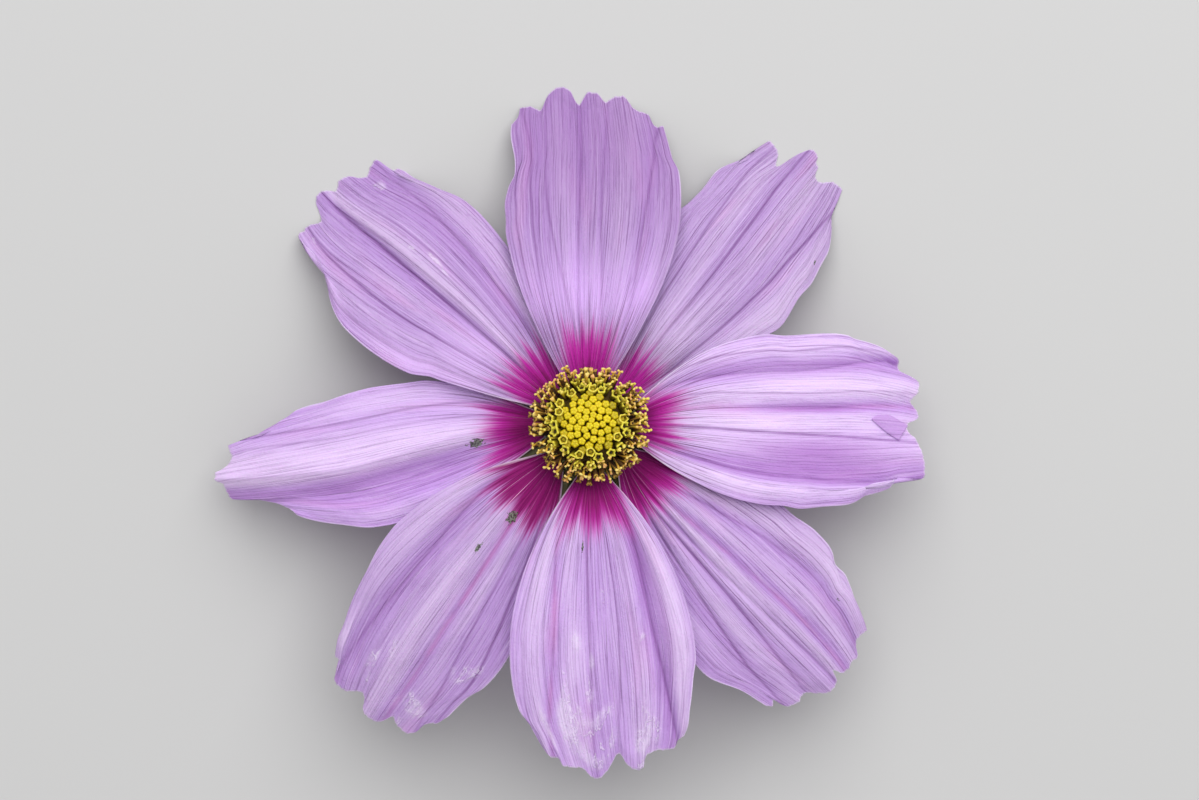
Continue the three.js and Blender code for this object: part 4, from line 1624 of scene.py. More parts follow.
def sweep(path: Array, radii: Sequence[float], sides: int, rise: Sequence[float]) -> MeshData:
    """A tube along a path, closed at both ends.

    Args:
        path: Points of its middle line.
        radii: Its radius at each point.
        sides: Corners round it.
        rise: Value kept at each point.

    Returns:
        The mesh.
    """
    tangents = np.gradient(path, axis=0)
    tangents /= np.linalg.norm(tangents, axis=1, keepdims=True)
    side = np.cross(tangents[0], NO_TUBE_FOLLOWS)
    side /= np.linalg.norm(side)
    points, values = [], []
    for centre, tangent, radius, value in zip(path, tangents, radii, rise):
        side = side - tangent * np.dot(side, tangent)
        side /= np.linalg.norm(side)
        other = np.cross(tangent, side)
        for a in (j / sides * TAU for j in range(sides)):
            points.append(centre + radius * (math.cos(a) * side + math.sin(a) * other))
            values.append(value)
    last, foot, top = (len(path) - 1) * sides, len(points), len(points) + 1
    points += [path[0], path[-1] + tangents[-1] * radii[-1] * 0.5]
    values += [rise[0], rise[-1]]
    ring = [(j, (j + 1) % sides) for j in range(sides)]
    faces = [(row + j, row + n, row + sides + n, row + sides + j)
             for row in range(0, last, sides) for j, n in ring]
    for j, n in ring:
        faces += [(foot, n, j), (top, last + j, last + n)]
    return MeshData(np.array(points), faces, {"rise": np.array(values)})


class Seat(Enum):
    """How a field of florets is laid out."""

    SPIRAL = "golden-angle spiral over the dome"
    RING = "one ring round the dome"
    GIVEN = "points of the mesh that the tree is put on"


@dataclass(frozen=True)
class Field:
    """A Geometry Nodes tree that stands copies of small prototypes on its seats."""

    name: str
    seat: Seat
    count: int = 1
    radius: float = 1.0
    height: float = 0.0
    focus: float = 0.0
    packing: float = 0.5
    turn: float = 0.0
    size: tuple[float, float] = (1.0, 1.0)
    size_rim: float = 1.0
    scatter: float = 0.0
    lean: float = 0.0
    twist: float = math.pi
    aged: tuple[float, float, float] = (2.0, 3.0, 0.0)
    seed: int = 1

    def inputs(self, kinds: bpy.types.Collection, finish: Material) -> dict[str, Any]:
        """The tree's named inputs, with its lengths in metres.

        Args:
            kinds: Prototypes to choose from.
            finish: Finish of all copies.

        Returns:
            Their values by name.
        """
        return {
            "Prototypes": kinds, "Finish": finish, "Count": self.count,
            "Field Radius": self.radius * MM, "Height": self.height * MM,
            "Focus Height": self.focus * MM, "Packing": self.packing, "First Angle": self.turn,
            "Smallest": self.size[0], "Largest": self.size[1], "Size at Rim": self.size_rim,
            "Scatter": self.scatter * MM, "Lean": self.lean, "Twist": self.twist,
            "Aged From": self.aged[0], "Aged To": self.aged[1], "Aged Most": self.aged[2],
            "Seed": self.seed,
        }

    def layout(self, tree: Tree) -> tuple[Wire, Wire | float]:
        """Lays out the seats.

        Args:
            tree: What adds the nodes.

        Returns:
            The points, and each seat's share of the field's radius.
        """
        if self.seat is Seat.GIVEN:
            flat = tree.vector("MULTIPLY", {0: tree.here, 1: (1.0, 1.0, 0.0)})
            length = tree.vector("LENGTH", {0: flat}, "Value")
            return tree.given("Geometry"), length / tree.given("Field Radius")
        count = tree.given("Count")
        if self.seat is Seat.SPIRAL:
            share = tree.math("POWER", (tree.index + 0.5) / count, tree.given("Packing"))
            angle = tree.index * GOLDEN_ANGLE
        else:
            share = 1.0
            angle = tree.index / count * TAU
        angle = angle + tree.given("First Angle")
        radius, height = tree.given("Field Radius") * share, tree.given("Height")
        if self.seat is Seat.SPIRAL:
            square = tree.math("POWER", radius / (DOME_RADIUS * MM), 2.0)
            height = height - square * ((DOME_TOP - DOME_SHOULDER) * MM)
        where = tree.combine(radius * tree.math("COSINE", angle),
                             radius * tree.math("SINE", angle), height)
        line = tree.wire("GeometryNodeMeshLine", {"Count": count})
        return tree.wire("GeometryNodeSetPosition", {"Geometry": line, "Position": where}), share

    def chance(self, tree: Tree, shift: int, low: Any = -1.0, high: Any = 1.0) -> Wire:
        """A random number for each seat.

        Args:
            tree: What adds the nodes.
            shift: What is added to the field's seed.
            low: The least that it can be.
            high: The most that it can be.

        Returns:
            The number.
        """
        seed = tree.given("Seed") + float(shift)
        return tree.wire("FunctionNodeRandomValue", {2: low, 3: high, "Seed": seed}, 1,
                         data_type="FLOAT")

    def rotation(self, tree: Tree) -> Wire:
        """Turns each copy away from the focus, with some lean and twist.

        Args:
            tree: What adds the nodes.

        Returns:
            The rotation of each copy.
        """
        focus = tree.combine(0.0, 0.0, tree.given("Focus Height"))
        upright = tree.wire("FunctionNodeAlignRotationToVector", {
            "Vector": tree.vector("SUBTRACT", {0: tree.here, 1: focus})}, axis="Z")
        tilt = [self.chance(tree, k) * tree.given("Lean") for k in (4, 5)]
        spin = self.chance(tree, 6) * tree.given("Twist")
        turn = tree.wire("FunctionNodeEulerToRotation", {0: tree.combine(*tilt, spin)})
        return tree.wire("FunctionNodeRotateRotation", {"Rotation": upright, "Rotate By": turn},
                         rotation_space="LOCAL")

    def plant(self, prototypes: Sequence[MeshData], finish: Material,
              seats: Array | None = None) -> Mesh:
        """Builds the tree and runs it.

        Args:
            prototypes: Meshes to choose from, in millimetres.
            finish: Finish of all of them.
            seats: Points to stand them on, for given seats.

        Returns:
            The plain mesh in the head's frame, in metres.
        """
        group = bpy.data.collections.new(self.name + "_prototypes")
        bpy.context.scene.collection.children.link(group)
        for k, data in enumerate(prototypes):
            label = f"{self.name}_{k:02d}"
            group.objects.link(bpy.data.objects.new(label, data.to_mesh(label)))
        tree = Tree(self.name + "_field", self.inputs(group, finish))
        points, share = self.layout(tree)
        shake = [self.chance(tree, k) * tree.given("Scatter") for k in (1, 2, 3)]
        points = tree.wire("GeometryNodeSetPosition",
                           {"Geometry": points, "Offset": tree.combine(*shake)})
        aged = tree.wire("ShaderNodeMapRange", {
            "Value": share, "From Min": tree.given("Aged From"),
            "From Max": tree.given("Aged To"), "To Max": tree.given("Aged Most"),
        })
        points = tree.kept(points, "own", self.chance(tree, 8, 0.0) * 0.3 + aged)
        size = self.chance(tree, 7, tree.given("Smallest"), tree.given("Largest"))
        size = size * ((tree.given("Size at Rim") - 1.0) * share + 1.0)
        kinds = tree.wire("GeometryNodeCollectionInfo", {
            "Collection": tree.given("Prototypes"), "Separate Children": True,
            "Reset Children": True,
        })
        copies = tree.wire("GeometryNodeInstanceOnPoints", {
            "Points": points, "Instance": kinds, "Pick Instance": True,
            "Rotation": self.rotation(tree), "Scale": tree.combine(size, size, size),
        })
        mesh = tree.run(copies, () if seats is None else (seats * MM).tolist())
        for item in list(group.objects):
            bpy.data.objects.remove(item)
        bpy.data.collections.remove(group)
        return mesh


def head_piece(name: str, meshes: Sequence[Mesh], slot: str, *nodes: str) -> Piece:
    """Joins meshes of the head's frame in one piece in its place.

    Args:
        name: Name of the piece.
        meshes: Meshes about the head's own axis, in metres.
        slot: Material slot of the record.
        nodes: Solids that it stands for.

    Returns:
        The piece.
    """
    parts = []
    for mesh in meshes:
        mesh.transform(HEAD.matrix())
        parts.append(linked(name, mesh))
    piece = parts[0]
    if len(parts) > 1:
        with bpy.context.temp_override(active_object=piece, object=piece, selected_objects=parts,
                                       selected_editable_objects=parts):
            bpy.ops.object.join()
    piece.name = name
    piece.data.name = name
    return install(piece, slot, *nodes)


@dataclass(frozen=True)
class Lobes:
    """Waves round the rows of a turned shape; pointed ones only add to it."""

    rows: Sequence[float]
    depth: float
    lift: float = 0.0
    count: int = 5
    pointed: bool = False

    def __call__(self, angle: Array, row: int) -> tuple[Array, Array]:
        """How a row differs from a circle.

        Args:
            angle: Directions of its corners.
            row: Its number.

        Returns:
            Factor of the radius and change of the height.
        """
        share, wave = self.rows[row], np.cos(self.count * angle)
        if self.pointed:
            wave = 0.5 + 0.5 * wave
        return 1 + self.depth * share * wave, self.lift * share * wave


# Fields of the disc, from the buds outwards
BUDS = Field("closed_bud", Seat.SPIRAL, 56, 3.38, DOME_TOP + 0.85, -5.0, 0.55, size=(0.96, 1.05),
             size_rim=1.24, scatter=0.04, lean=0.06, aged=(0.78, 1.0, 0.9), seed=11)
OPENINGS = Field("opening_floret", Seat.GIVEN, radius=4.0, focus=-2.5, size=(0.94, 1.06),
                 lean=0.12, seed=12)
STARS = Field("star_floret", Seat.GIVEN, radius=4.5, focus=-0.5, size=(0.85, 1.1), lean=0.2,
              seed=13)
TUBES = (
    Field("anther_inner", Seat.RING, 15, 4.05, 4.2, -1.0, size=(0.85, 1.1), scatter=0.2,
          lean=0.25, seed=14),
    Field("anther_middle", Seat.RING, 24, 4.6, 4.2, 1.0, turn=0.1, size=(0.9, 1.15), scatter=0.2,
          lean=0.3, seed=15),
    Field("anther_outer", Seat.RING, 32, 4.95, 3.6, 2.3, turn=0.2, size=(0.9, 1.15), scatter=0.2,
          lean=0.3, seed=16),
)
STYLES = (
    (Field("style_inner", Seat.RING, 26, 4.2, 5.75, 0.0, turn=0.15, size=(0.8, 1.0),
           scatter=0.28, lean=0.35, seed=17), FloretLook.YOUNG),
    (Field("style_middle", Seat.RING, 44, 4.95, 5.45, 1.6, turn=0.05, size=(0.8, 1.05),
           scatter=0.28, lean=0.35, seed=18), FloretLook.FORK),
    (Field("style_outer", Seat.RING, 47, 5.5, 4.75, 2.9, turn=0.16, size=(0.85, 1.1),
           scatter=0.24, lean=0.4, seed=19), FloretLook.FORK),
)
LONG_STYLES = Field("style_long", Seat.GIVEN, radius=5.6, focus=-1.2, size=(1.0, 1.2), lean=0.25,
                    twist=0.7, seed=20)


@dataclass(frozen=True)
class Disc:
    """The disc: closed buds in a spiral, opening florets, and anthers with their forked styles."""

    bud_radius: float = 0.385
    opening_radius: float = 0.52
    anther_radius: float = 0.22
    opening_height: float = 1.4
    star_height: float = 1.45
    long_height: float = 1.1
    opening_seats: Line = (
        (-1.98, 3.27), (-3.26, 2.15), (-3.31, 1.12), (-2.85, -1.99), (0.16, -3.37),
        (-1.06, -3.62), (3.79, 0.41), (0.42, 3.78), (3.13, -1.64),
    )
    star_seats: Line = (
        (-3.82, -1.02), (-2.65, -3.07), (2.46, -3.37), (1.03, -3.9), (3.49, 2.66), (-0.35, 4.5),
        (2.0, 4.1), (4.3, 1.64), (4.2, -1.12), (-4.4, 0.45), (-1.52, 4.7), (-2.95, 3.6),
        (3.55, 3.7), (1.15, 4.85), (3.5, -2.7), (-1.25, -4.75), (-4.15, -2.5), (-4.45, 1.9),
        (0.2, -4.8), (-0.85, 3.95), (1.35, 3.65), (2.95, 3.25), (3.95, -0.4), (-3.95, -0.2),
        (4.0, 2.1), (-1.9, -3.95),
    )
    long_seats: Line = (
        (4.7, 3.75), (5.15, 3.05), (5.35, 2.3), (5.5, 1.55), (5.6, 0.8), (5.65, 0.1),
        (5.5, -0.65), (5.3, -1.5), (4.95, -2.35), (5.05, 0.45), (4.95, 1.95), (4.95, -1.0),
    )

    def bud(self, kind: int) -> MeshData:
        """A closed bud: five blunt valves that meet in a shallow star.

        Args:
            kind: Seeds its unevenness.

        Returns:
            The mesh, upright on its seat.
        """
        draw = np.random.default_rng(BUD_SEED + kind)
        puff = 1 + 0.06 * draw.standard_normal()
        dent = 0.02 + 0.03 * draw.random()
        r = self.bud_radius
        rows = (0.1, 0.25, 0.6, 1.0, 1.2, 1.3, 1.2, 0.6, 0.0)
        data = lathe([
            (0.55 * r, -1.5, 0.0), (0.72 * r, -0.8, 0.0), (0.92 * r, -0.32, 0.05), (r, -0.1, 0.25),
            (0.95 * r * puff, 0.06, 0.65), (0.74 * r, 0.2, 1.0), (0.42 * r, 0.24 - dent, 0.95),
            (0.16 * r, 0.24 - dent, 0.85), (0.0, 0.22 - dent, 0.8),
        ], BUD_SIDES, Lobes(rows, 0.045, 0.03))
        angle = np.arctan2(data.points[:, 1], data.points[:, 0])
        # Painted shade along the five seams between the valves
        data.values["rise"] *= 1 - 0.1 * (0.5 - 0.5 * np.cos(5 * angle))
        return data

    def opening(self, kind: int) -> MeshData:
        """An opening floret: a lobed cup with a raised rim and the anthers in it.

        Args:
            kind: Seeds its unevenness.

        Returns:
            The mesh, upright on its seat.
        """
        gape = 0.62 + 0.12 * np.random.default_rng(OPENING_SEED + kind).random()
        r = self.opening_radius
        rows = (0.1, 0.2, 0.5, 1.0, 1.5, 1.5, 1.3, 0.8, 1.0, 1.6, 1.2, 0.0)
        return lathe([
            (0.5 * r, -1.9, 0.0), (0.62 * r, -1.0, 0.2), (0.86 * r, -0.4, 0.5), (r, 0.0, 0.85),
            (1.03 * r, 0.17, 1.0), (0.9 * r, 0.25, 1.0), (gape * r, 0.16, 0.8),
            (gape * 0.85 * r, -0.04, 0.3), (0.45 * r, -0.12, 0.15), (0.3 * r, -0.02, 0.5),
            (0.14 * r, 0.06, 0.75), (0.0, 0.05, 0.5),
        ], BUD_SIDES, Lobes(rows, 0.07, 0.05))

    def star(self, kind: int) -> MeshData:
        """An open floret: five pointed lobes round a dark throat.

        Args:
            kind: Seeds its unevenness.

        Returns:
            The mesh, upright on its seat.
        """
        draw = np.random.default_rng(STAR_SEED + kind)
        reach = 0.86 + 0.12 * draw.random()
        lift = 0.16 * draw.random()
        rows = (0.05, 0.1, 0.3, 1.0, 1.0, 0.7, 0.2, 0.1, 0.1, 0.0)
        return lathe([
            (0.24, -1.9, 0.0), (0.34, -0.9, 0.15), (0.42, -0.3, 0.4), (0.48 * reach, -0.05, 0.8),
            (0.46 * reach, 0.1, 1.0), (0.34, 0.13, 1.0), (0.22, -0.02, 0.4), (0.18, -0.2, 0.0),
            (0.1, -0.25, 0.0), (0.0, -0.25, 0.0),
        ], STAR_SIDES, Lobes(rows, 0.5, 0.2 - lift, pointed=True))

    def anther(self, kind: int) -> MeshData:
        """A dark tube of anthers with a paler lip.

        Args:
            kind: Seeds its length.

        Returns:
            The mesh, upright on its seat.
        """
        tall = 1.5 + 0.4 * np.random.default_rng(ANTHER_SEED + kind).random()
        r = self.anther_radius
        return lathe([
            (0.7 * r, -1.2, 0.0), (0.95 * r, 0.0, 0.1), (1.1 * r, 0.5 * tall, 0.3),
            (1.05 * r, 0.85 * tall, 0.55), (1.2 * r, tall, 1.0), (0.7 * r, tall + 0.06, 0.9),
            (0.45 * r, tall - 0.1, 0.2), (0.0, tall - 0.12, 0.1),
        ], ANTHER_SIDES, Lobes((0.3, 0.6, 1.0, 1.0, 2.2, 1.6, 0.5, 0.0), 0.14, 0.05))

    def fork(self, kind: int) -> MeshData:
        """A style: a thin shaft that forks in two curled arms with knobs of pollen.

        Args:
            kind: Seeds its bends and lengths.

        Returns:
            The mesh, upright on its seat.
        """
        draw = np.random.default_rng(FORK_SEED + kind)
        shaft = 0.75 + 0.5 * draw.random()
        bend = draw.uniform(-0.25, 0.25, 2)
        share, steps = np.linspace(0, 1, 5), np.linspace(0, 1, 6)
        line = np.stack([bend[0] * share**2, bend[1] * share**2, shaft * share], 1)
        line[:, 2] -= 0.5 * (1 - share)
        radii, rise = [0.1, 0.1, 0.1, 0.125, 0.15], [0.0, 0.05, 0.15, 0.3, 0.55]
        parts = [sweep(line, radii, FORK_SIDES, rise)]
        opening = draw.uniform(0.7, 1.35)
        for sign in (-1, 1):
            arm, curl = draw.uniform(0.36, 0.58), draw.uniform(0.3, 1.1)
            angle = opening * 0.6 + (opening + curl) * steps
            delta = np.stack([sign * np.sin(angle), 0.25 * draw.uniform(-1, 1) * steps,
                              np.cos(angle)], 1) * arm / 5
            route = line[-1] + np.concatenate([np.zeros((1, 3)), np.cumsum(delta, 0)[:-1]])
            swell = 0.115 + 0.035 * draw.random()
            radii = [0.12, 0.105, 0.11, swell, swell * 1.2, swell * 0.65]
            parts.append(sweep(route, radii, FORK_SIDES, [0.6, 0.7, 0.85, 1.0, 1.0, 1.0]))
        return MeshData.merged(parts)

    def clump(self, kind: int) -> MeshData:
        """A blunt tuft of pollen on a short stub, for where the forks haven't opened.

        Args:
            kind: Seeds its lumps.

        Returns:
            The mesh, upright on its seat.
        """
        phase = np.random.default_rng(CLUMP_SEED + kind).random() * 6
        shares = (0.0, 0.1, 0.6, 1.0, 1.0, 0.8, 0.0)

        def lumps(angle: Array, row: int) -> tuple[Array, Array]:
            """Uneven change of a row's radius and height."""
            return (1 + shares[row] * 0.28 * np.cos(3 * angle + phase + row),
                    shares[row] * 0.09 * np.sin(2 * angle + phase * 2))

        return lathe([
            (0.1, -0.6, 0.0), (0.12, 0.1, 0.3), (0.2, 0.45, 0.7), (0.25, 0.65, 0.9),
            (0.2, 0.82, 1.0), (0.08, 0.88, 1.0), (0.0, 0.85, 0.9),
        ], CLUMP_SIDES, lumps)

    def seats(self, places: Line, height: float) -> Array:
        """Given seats in the head's frame.

        Args:
            places: Where they are, seen along the axis.
            height: Their height over the dome's curve.

        Returns:
            Rows of x, y and z.
        """
        flat = np.array(places)
        radius = np.minimum(np.hypot(flat[:, 0], flat[:, 1]), DOME_REACH)
        drop = (DOME_TOP - DOME_SHOULDER) * (radius / DOME_RADIUS) ** 2
        return np.column_stack([flat, DOME_TOP + height - drop])

    def dome(self) -> MeshData:
        """The convex floor of the disc, below the florets.

        Returns:
            The mesh in the head's frame, with every value that floret finishes read.
        """
        profile = [(0.0, RECEPTACLE_TOP - 0.4, 0.0), (4.55, RECEPTACLE_TOP + 0.3, 0.0),
                   (4.75, RECEPTACLE_TOP + 0.9, 0.3), (4.55, 4.0, 0.5), (3.9, 4.5, 0.6)]
        for share in (1.0, 0.85, 0.65, 0.45, 0.2, 0.0):
            height = DOME_TOP - (DOME_TOP - DOME_SHOULDER) * share**2
            profile.append((DOME_RADIUS * share, height - 0.1, 0.8))
        data = lathe(profile, DOME_SIDES)
        data.values["own"] = np.zeros(len(data.points))
        return data

    def make(self) -> list[Piece]:
        """Makes the disc's pieces.

        Returns:
            The pieces, from the buds outwards.
        """
        look = {look: look.value.build() for look in FloretLook}
        buds = BUDS.plant([self.bud(k) for k in range(BUD_KINDS)], look[FloretLook.BUD])
        dome = self.dome().to_mesh("dome", look[FloretLook.CHAFF])
        openings = OPENINGS.plant([self.opening(k) for k in range(OPENING_KINDS)],
                                  look[FloretLook.OPENING],
                                  self.seats(self.opening_seats, self.opening_height))
        stars = STARS.plant([self.star(k) for k in range(STAR_KINDS)], look[FloretLook.STAR],
                            self.seats(self.star_seats, self.star_height))
        kinds = [self.anther(k) for k in range(ANTHER_KINDS)]
        tubes = [item.plant(kinds, look[FloretLook.ANTHER]) for item in TUBES]
        forks = [self.fork(k) for k in range(FORK_KINDS)]
        kinds = forks + [self.clump(k) for k in range(CLUMP_KINDS)]
        styles = [item.plant(kinds, look[finish]) for item, finish in STYLES]
        styles.append(LONG_STYLES.plant(forks, look[FloretLook.YOUNG],
                                        self.seats(self.long_seats, self.long_height)))
        return [
            head_piece("closed_buds_fine", [buds, dome], "closed_buds", "closed_buds"),
            head_piece("opening_florets", [openings], "open_florets"),
            head_piece("star_florets", [stars], "open_florets"),
            head_piece("anther_tubes", tubes, "open_florets", "open_florets"),
            head_piece("forked_styles", styles, "open_florets"),
        ]


class Whorl(Enum):
    """The two whorls of bracts, by the solids that they stand for."""

    INNER = "inner_bracts"
    OUTER = "outer_bracts"


@dataclass(frozen=True)
class Bracts:
    """A whorl of eight bracts on a collar round the receptacle."""

    whorl: Whorl
    length: float
    half_width: float
    start: float
    height: float
    rise: float
    turn: float
    collar: Line
    finish: GreenFinish
    widths: tuple[float, ...] = (0.62, 0.95, 1.0, 0.72, 0.12)
    rows: int = 26
    columns: int = 17
    thickness: float = 0.32
    rim_thickness: float = 0.12
    collar_sides: int = 64
    seed: int = 1040

    def blade(self, kind: int, azimuth: float) -> MeshData:
        """One bract in its place.

        Args:
            kind: Seeds its unevenness.
            azimuth: Direction in degrees.

        Returns:
            The mesh in the head's frame.
        """
        draw = np.random.default_rng(self.seed + kind)
        row, across = np.meshgrid(np.linspace(0, 1, self.rows), np.linspace(-1, 1, self.columns),
                                  indexing="ij")
        width = self.half_width * monotone_curve((0, 0.25, 0.5, 0.75, 1), self.widths, row)
        x = self.start + row * self.length
        y = across * width + 0.125 * np.sin(row * 3 + draw.random() * 3) * smooth(row, 0.2, 1)
        cup = 0.25 * np.abs(across) ** 1.6 * (self.half_width / 2.5) * smooth(row, 0, 0.5)
        vein = 0.05 * np.cos(across * 4 * np.pi) * smooth(row, 0, 0.2)
        wave = 0.12 * np.sin(row * 9 + draw.random() * 6) * across * smooth(row, 0.3, 1)
        z = self.height + self.rise * row**1.5 + cup + vein + wave
        edge = np.minimum(1 - np.abs(across), (1 - row) * 3)
        body = self.thickness - self.rim_thickness
        half = (self.rim_thickness + body * smooth(edge, 0, 0.35)) / 2
        points, faces = shell(np.stack([x, y, z + half], 2), np.stack([x, y, z - half], 2))
        values = {"across": np.tile(across.ravel() * 0.5 + 0.5, 2)}
        return MeshData(turned(points, math.radians(azimuth)), faces, values)

    def make(self) -> list[Piece]:
        """Makes the whorl as one piece.

        Returns:
            The piece.
        """
        parts = []
        for k, here in enumerate(AZIMUTHS):
            step = (here - AZIMUTHS[(k + 1) % len(AZIMUTHS)]) % 360
            parts.append(self.blade(k, here - step * self.turn))
        ring = lathe([(r, z, 0.0) for r, z in (*self.collar, self.collar[0])], self.collar_sides)
        ring.values = {"across": np.arange(len(ring.points)) / self.collar_sides * 3}
        data = MeshData.merged([*parts, ring])
        data.points = HEAD.place(data.points)
        node = self.whorl.value
        piece = linked(node + "_fine", data.to_mesh(node + "_fine", self.finish.build()))
        return [install(piece, node, node)]


@dataclass(frozen=True)
class Receptacle:
    """The green cushion that carries petals, bracts and disc."""

    sides: int = 96
    ribs: int = 16
    rib_depth: float = 0.02
    rib_shares: tuple[float, ...] = (0, 0, 0.3, 0.7, 1, 1, 0.9, 0.5, 0.2, 0, 0, 0, 0, 0, 0)
    profile: Profile = (
        (0.0, RECEPTACLE_FOOT, 0), (0.9, RECEPTACLE_FOOT, 0), (1.3, -2.25, 0), (2.2, -2.05, 0),
        (3.2, -1.7, 0), (3.9, -1.25, 0), (4.4, -0.8, 0), (4.72, -0.35, 0), (WALL_RADIUS, 0.0, 0),
        (WALL_RADIUS, 1.2, 0), (WALL_RADIUS, 2.1, 0), (4.7, 2.32, 0), (4.45, RECEPTACLE_TOP, 0),
        (2.5, RECEPTACLE_TOP, 0), (0.0, RECEPTACLE_TOP, 0),
    )
    finish: GreenFinish = GreenFinish("receptacle_green", (0.10, 0.17, 0.03, 1),
                                      (0.19, 0.27, 0.06, 1), (0.05, 0.10, 0.02, 1), 8.0)

    def make(self) -> list[Piece]:
        """Makes the piece.

        Returns:
            The piece.
        """
        ribs = Lobes(self.rib_shares, self.rib_depth, count=self.ribs)
        data = lathe(self.profile, self.sides, ribs)
        angle = np.arctan2(data.points[:, 1], data.points[:, 0])
        data.values = {"across": angle / TAU * 2}
        data.points = HEAD.place(data.points)
        piece = linked("receptacle_fine", data.to_mesh("receptacle_fine", self.finish.build()))
        return [install(piece, "receptacle", "receptacle")]


@dataclass(frozen=True)
class Stalk:
    """The flower stalk: ribbed, bent down from the head and lying on the surface."""

    radius: float = 0.95
    ribs: int = 7
    rib_depth: float = 0.055
    steps: int = 150
    sides: int = 56
    third: tuple[float, float, float] = (0.2, -4.5, STALK_LIES_AT)
    meet: tuple[float, float, float] = (0.8, -12.0, STALK_LIES_AT)
    over: tuple[float, float, float] = (1.8, -22.0, STALK_LIES_AT)
    end: tuple[float, float, float] = (1.0, -33.0, STALK_LIES_AT)
    finish: GreenFinish = GreenFinish("stalk_green", (0.16, 0.24, 0.045, 1), (0.27, 0.34, 0.09, 1),
                                      (0.09, 0.15, 0.03, 1), 7.0, 0.42)

    def route(self) -> Array:
        """Middle line from the receptacle to the cut end.

        Returns:
            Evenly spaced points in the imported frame, in millimetres.
        """
        lean = np.array([0.0, math.sin(HEAD_LEAN), math.cos(HEAD_LEAN)])
        top = lean * (RECEPTACLE_FOOT - 0.3) + (0.0, 0.0, HEAD_HEIGHT)
        below = top - lean * 5
        third, meet, over, end = np.array([self.third, self.meet, self.over, self.end])
        t = np.linspace(0, 1, 400)[:, None]
        s = 1 - t
        bend = s**3 * top + 3 * s * s * t * below + 3 * s * t * t * third + t**3 * meet
        lying = s * s * meet + 2 * s * t * over + t * t * end
        line = np.concatenate([bend, lying[1:]])
        run = np.concatenate([[0], np.cumsum(np.linalg.norm(np.diff(line, axis=0), axis=1))])
        even = np.linspace(0, run[-1], self.steps)
        spread = np.stack([np.interp(even, run, line[:, k]) for k in range(3)], 1)
        return spread + (*HEAD.origin[:2], 0.0)

    def make(self) -> list[Piece]:
        """Sweeps a ribbed outline along the middle line, in one piece.

        Returns:
            The piece.
        """
        tree = Tree("stalk_sweep", {
            "Finish": self.finish.build(), "Radius": self.radius * MM, "Ribs": self.ribs,
            "Rib Depth": self.rib_depth, "Sides": self.sides,
        })
        line = tree.wire("GeometryNodeMeshToCurve", {"Mesh": tree.given("Geometry")})
        ring = tree.wire("GeometryNodeCurvePrimitiveCircle", {
            "Resolution": tree.given("Sides"), "Radius": tree.given("Radius")})
        share = tree.index / tree.given("Sides")
        wave = tree.math("COSINE", share * tree.given("Ribs") * TAU)
        factor = 1.0 - tree.given("Rib Depth") * (1.0 - wave)
        ribbed = tree.wire("GeometryNodeSetPosition", {
            "Geometry": tree.kept(ring, "across", share),
            "Position": tree.vector("SCALE", {0: tree.here, "Scale": factor}),
        })
        swept = tree.wire("GeometryNodeCurveToMesh", {
            "Curve": line, "Profile Curve": ribbed, "Fill Caps": True})
        route = self.route() * MM
        mesh = tree.run(tree.wire("GeometryNodeSetShadeSmooth", {"Geometry": swept}),
                        route.tolist(), [(i, i + 1) for i in range(len(route) - 1)])
        mesh.name = "stalk_fine"
        return [install(linked("stalk_fine", mesh), "stalk", "stalk")]


@dataclass(frozen=True)
class Lamp:
    """One soft square light that points at the flower, in degrees, watts and millimetres."""

    name: str
    azimuth: float
    elevation: float
    power: float
    colour: tuple[float, float, float]
    distance: float = 600.0
    size: float = 700.0

    def make(self) -> None:
        """Puts the light in the scene."""
        light = bpy.data.lights.new(self.name, "AREA")
        light.size = self.size * MM
        light.energy = self.power
        light.color = self.colour
        lamp = linked(self.name, light)
        a, e = math.radians(self.azimuth), math.radians(self.elevation)
        way = Vector((math.cos(a) * math.cos(e), math.sin(a) * math.cos(e), math.sin(e)))
        lamp.location = Vector((0.0, 0.0, PICTURE_LEVEL * MM)) + way * self.distance * MM
        lamp.rotation_euler = (-way).to_track_quat("-Z", "Y").to_euler()


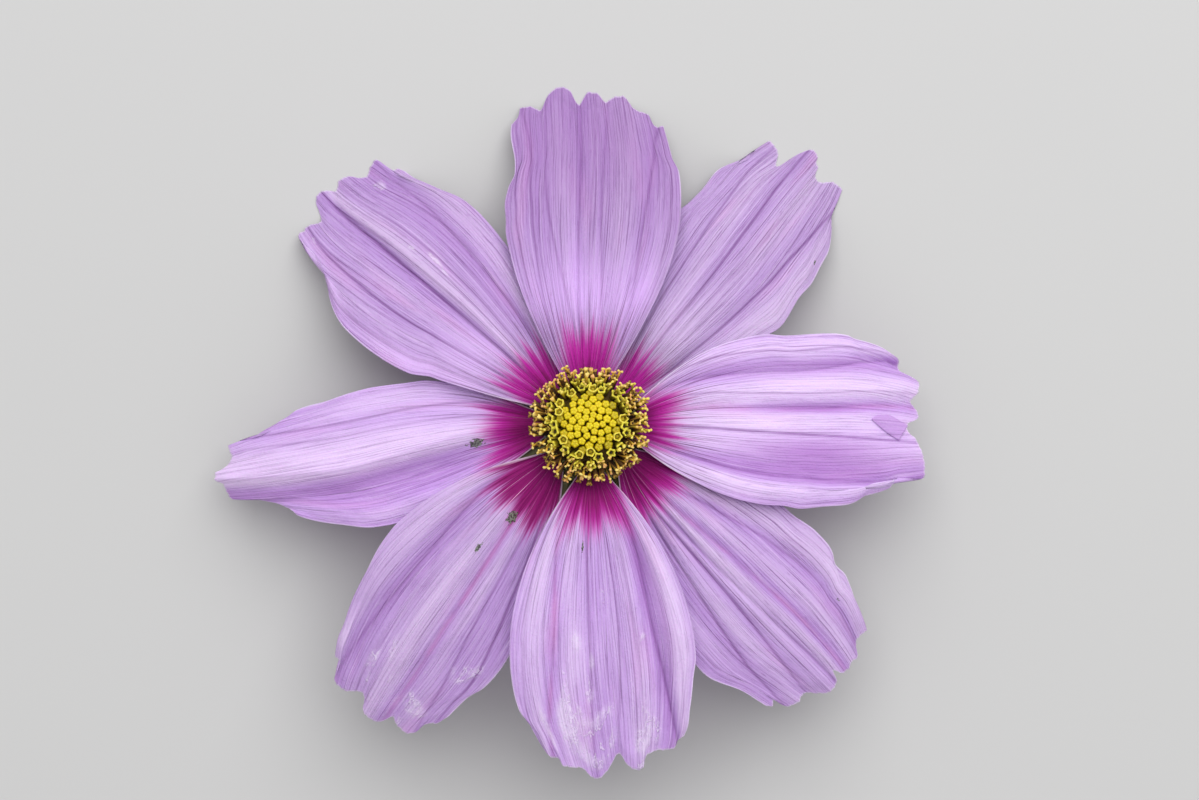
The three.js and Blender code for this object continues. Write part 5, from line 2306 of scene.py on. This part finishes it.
@dataclass(frozen=True)
class Stage:
    """Floor, soft light and the camera that looks straight down."""

    floor_half: float = 900.0
    lamps: tuple[Lamp, ...] = (
        Lamp("key", 78.0, 57.0, 3.75, (0.985, 0.98, 1.0)),
        Lamp("fill", 300.0, 30.0, 0.35, (0.97, 0.98, 1.0)),
    )
    sky: float = 0.48
    sky_colour: Colour = (0.975, 0.975, 1.0, 1)

    def floor(self) -> None:
        """Makes the pale floor."""
        corners = np.array([(-1, -1, 0), (1, -1, 0), (1, 1, 0), (-1, 1, 0)]) * self.floor_half
        mesh = MeshData(corners, [(0, 1, 2, 3)]).to_mesh("floor", StageFinish().build())
        linked("floor", mesh)

    def camera(self) -> None:
        """Places the camera over the flower, with the picture's frame."""
        data = bpy.data.cameras.new("camera")
        data.sensor_width = SENSOR_WIDTH
        data.sensor_fit = "HORIZONTAL"
        data.lens = SENSOR_WIDTH * CAMERA_DISTANCE / PICTURE_WIDTH
        camera = linked("camera", data)
        x, y = (HEAD.origin[k] + CAMERA_SHIFT[k] for k in (0, 1))
        camera.location = Vector((x, y, PICTURE_LEVEL + CAMERA_DISTANCE)) * MM
        bpy.context.scene.camera = camera

    def make(self) -> None:
        """Sets up everything that isn't part of the flower."""
        self.floor()
        for lamp in self.lamps:
            lamp.make()
        world = bpy.data.worlds.new("sky")
        world.use_nodes = True
        background = world.node_tree.nodes["Background"]
        background.inputs[0].default_value = self.sky_colour
        background.inputs[1].default_value = self.sky
        bpy.context.scene.world = world
        bpy.context.scene.view_settings.view_transform = "Standard"
        self.camera()


def report(piece: Piece) -> None:
    """Logs a finished piece and its number of triangles."""
    triangles = sum(len(face.vertices) - 2 for face in piece.data.polygons)
    LOG.info("%s: %d triangles", piece.name, triangles)


def main() -> None:
    """Sets the stage, then builds the flower piece by piece."""
    logging.basicConfig(level=logging.INFO, format="%(message)s")
    Stage().make()
    inner = Bracts(
        Whorl.INNER, 7.4, 2.5, 5.5, 0.0, 1.2, 0.0,
        ((5.2, -0.35), (5.9, -0.35), (5.9, 0.35), (5.2, 0.35)),
        # Darker than the bracts' own yellowish brown: painted shade for where they show in the gaps
        # between the petals
        GreenFinish("inner_bract_tissue", (0.16, 0.16, 0.06, 1), (0.28, 0.27, 0.12, 1),
                    (0.08, 0.08, 0.025, 1), 4.0))
    outer = Bracts(
        Whorl.OUTER, 9.5, 0.95, 4.3, -1.75, -0.9, 0.5,
        ((3.38, -1.94), (3.8, -2.5), (5.0, -1.6), (4.58, -1.04)),
        GreenFinish("outer_bract_tissue", (0.09, 0.17, 0.03, 1), (0.17, 0.27, 0.06, 1),
                    (0.05, 0.10, 0.02, 1), 2.0))
    for builder in (*PETALS, Receptacle(), inner, outer, Disc(), Stalk()):
        for piece in builder.make():
            report(piece)


if __name__ == "__main__":
    main()
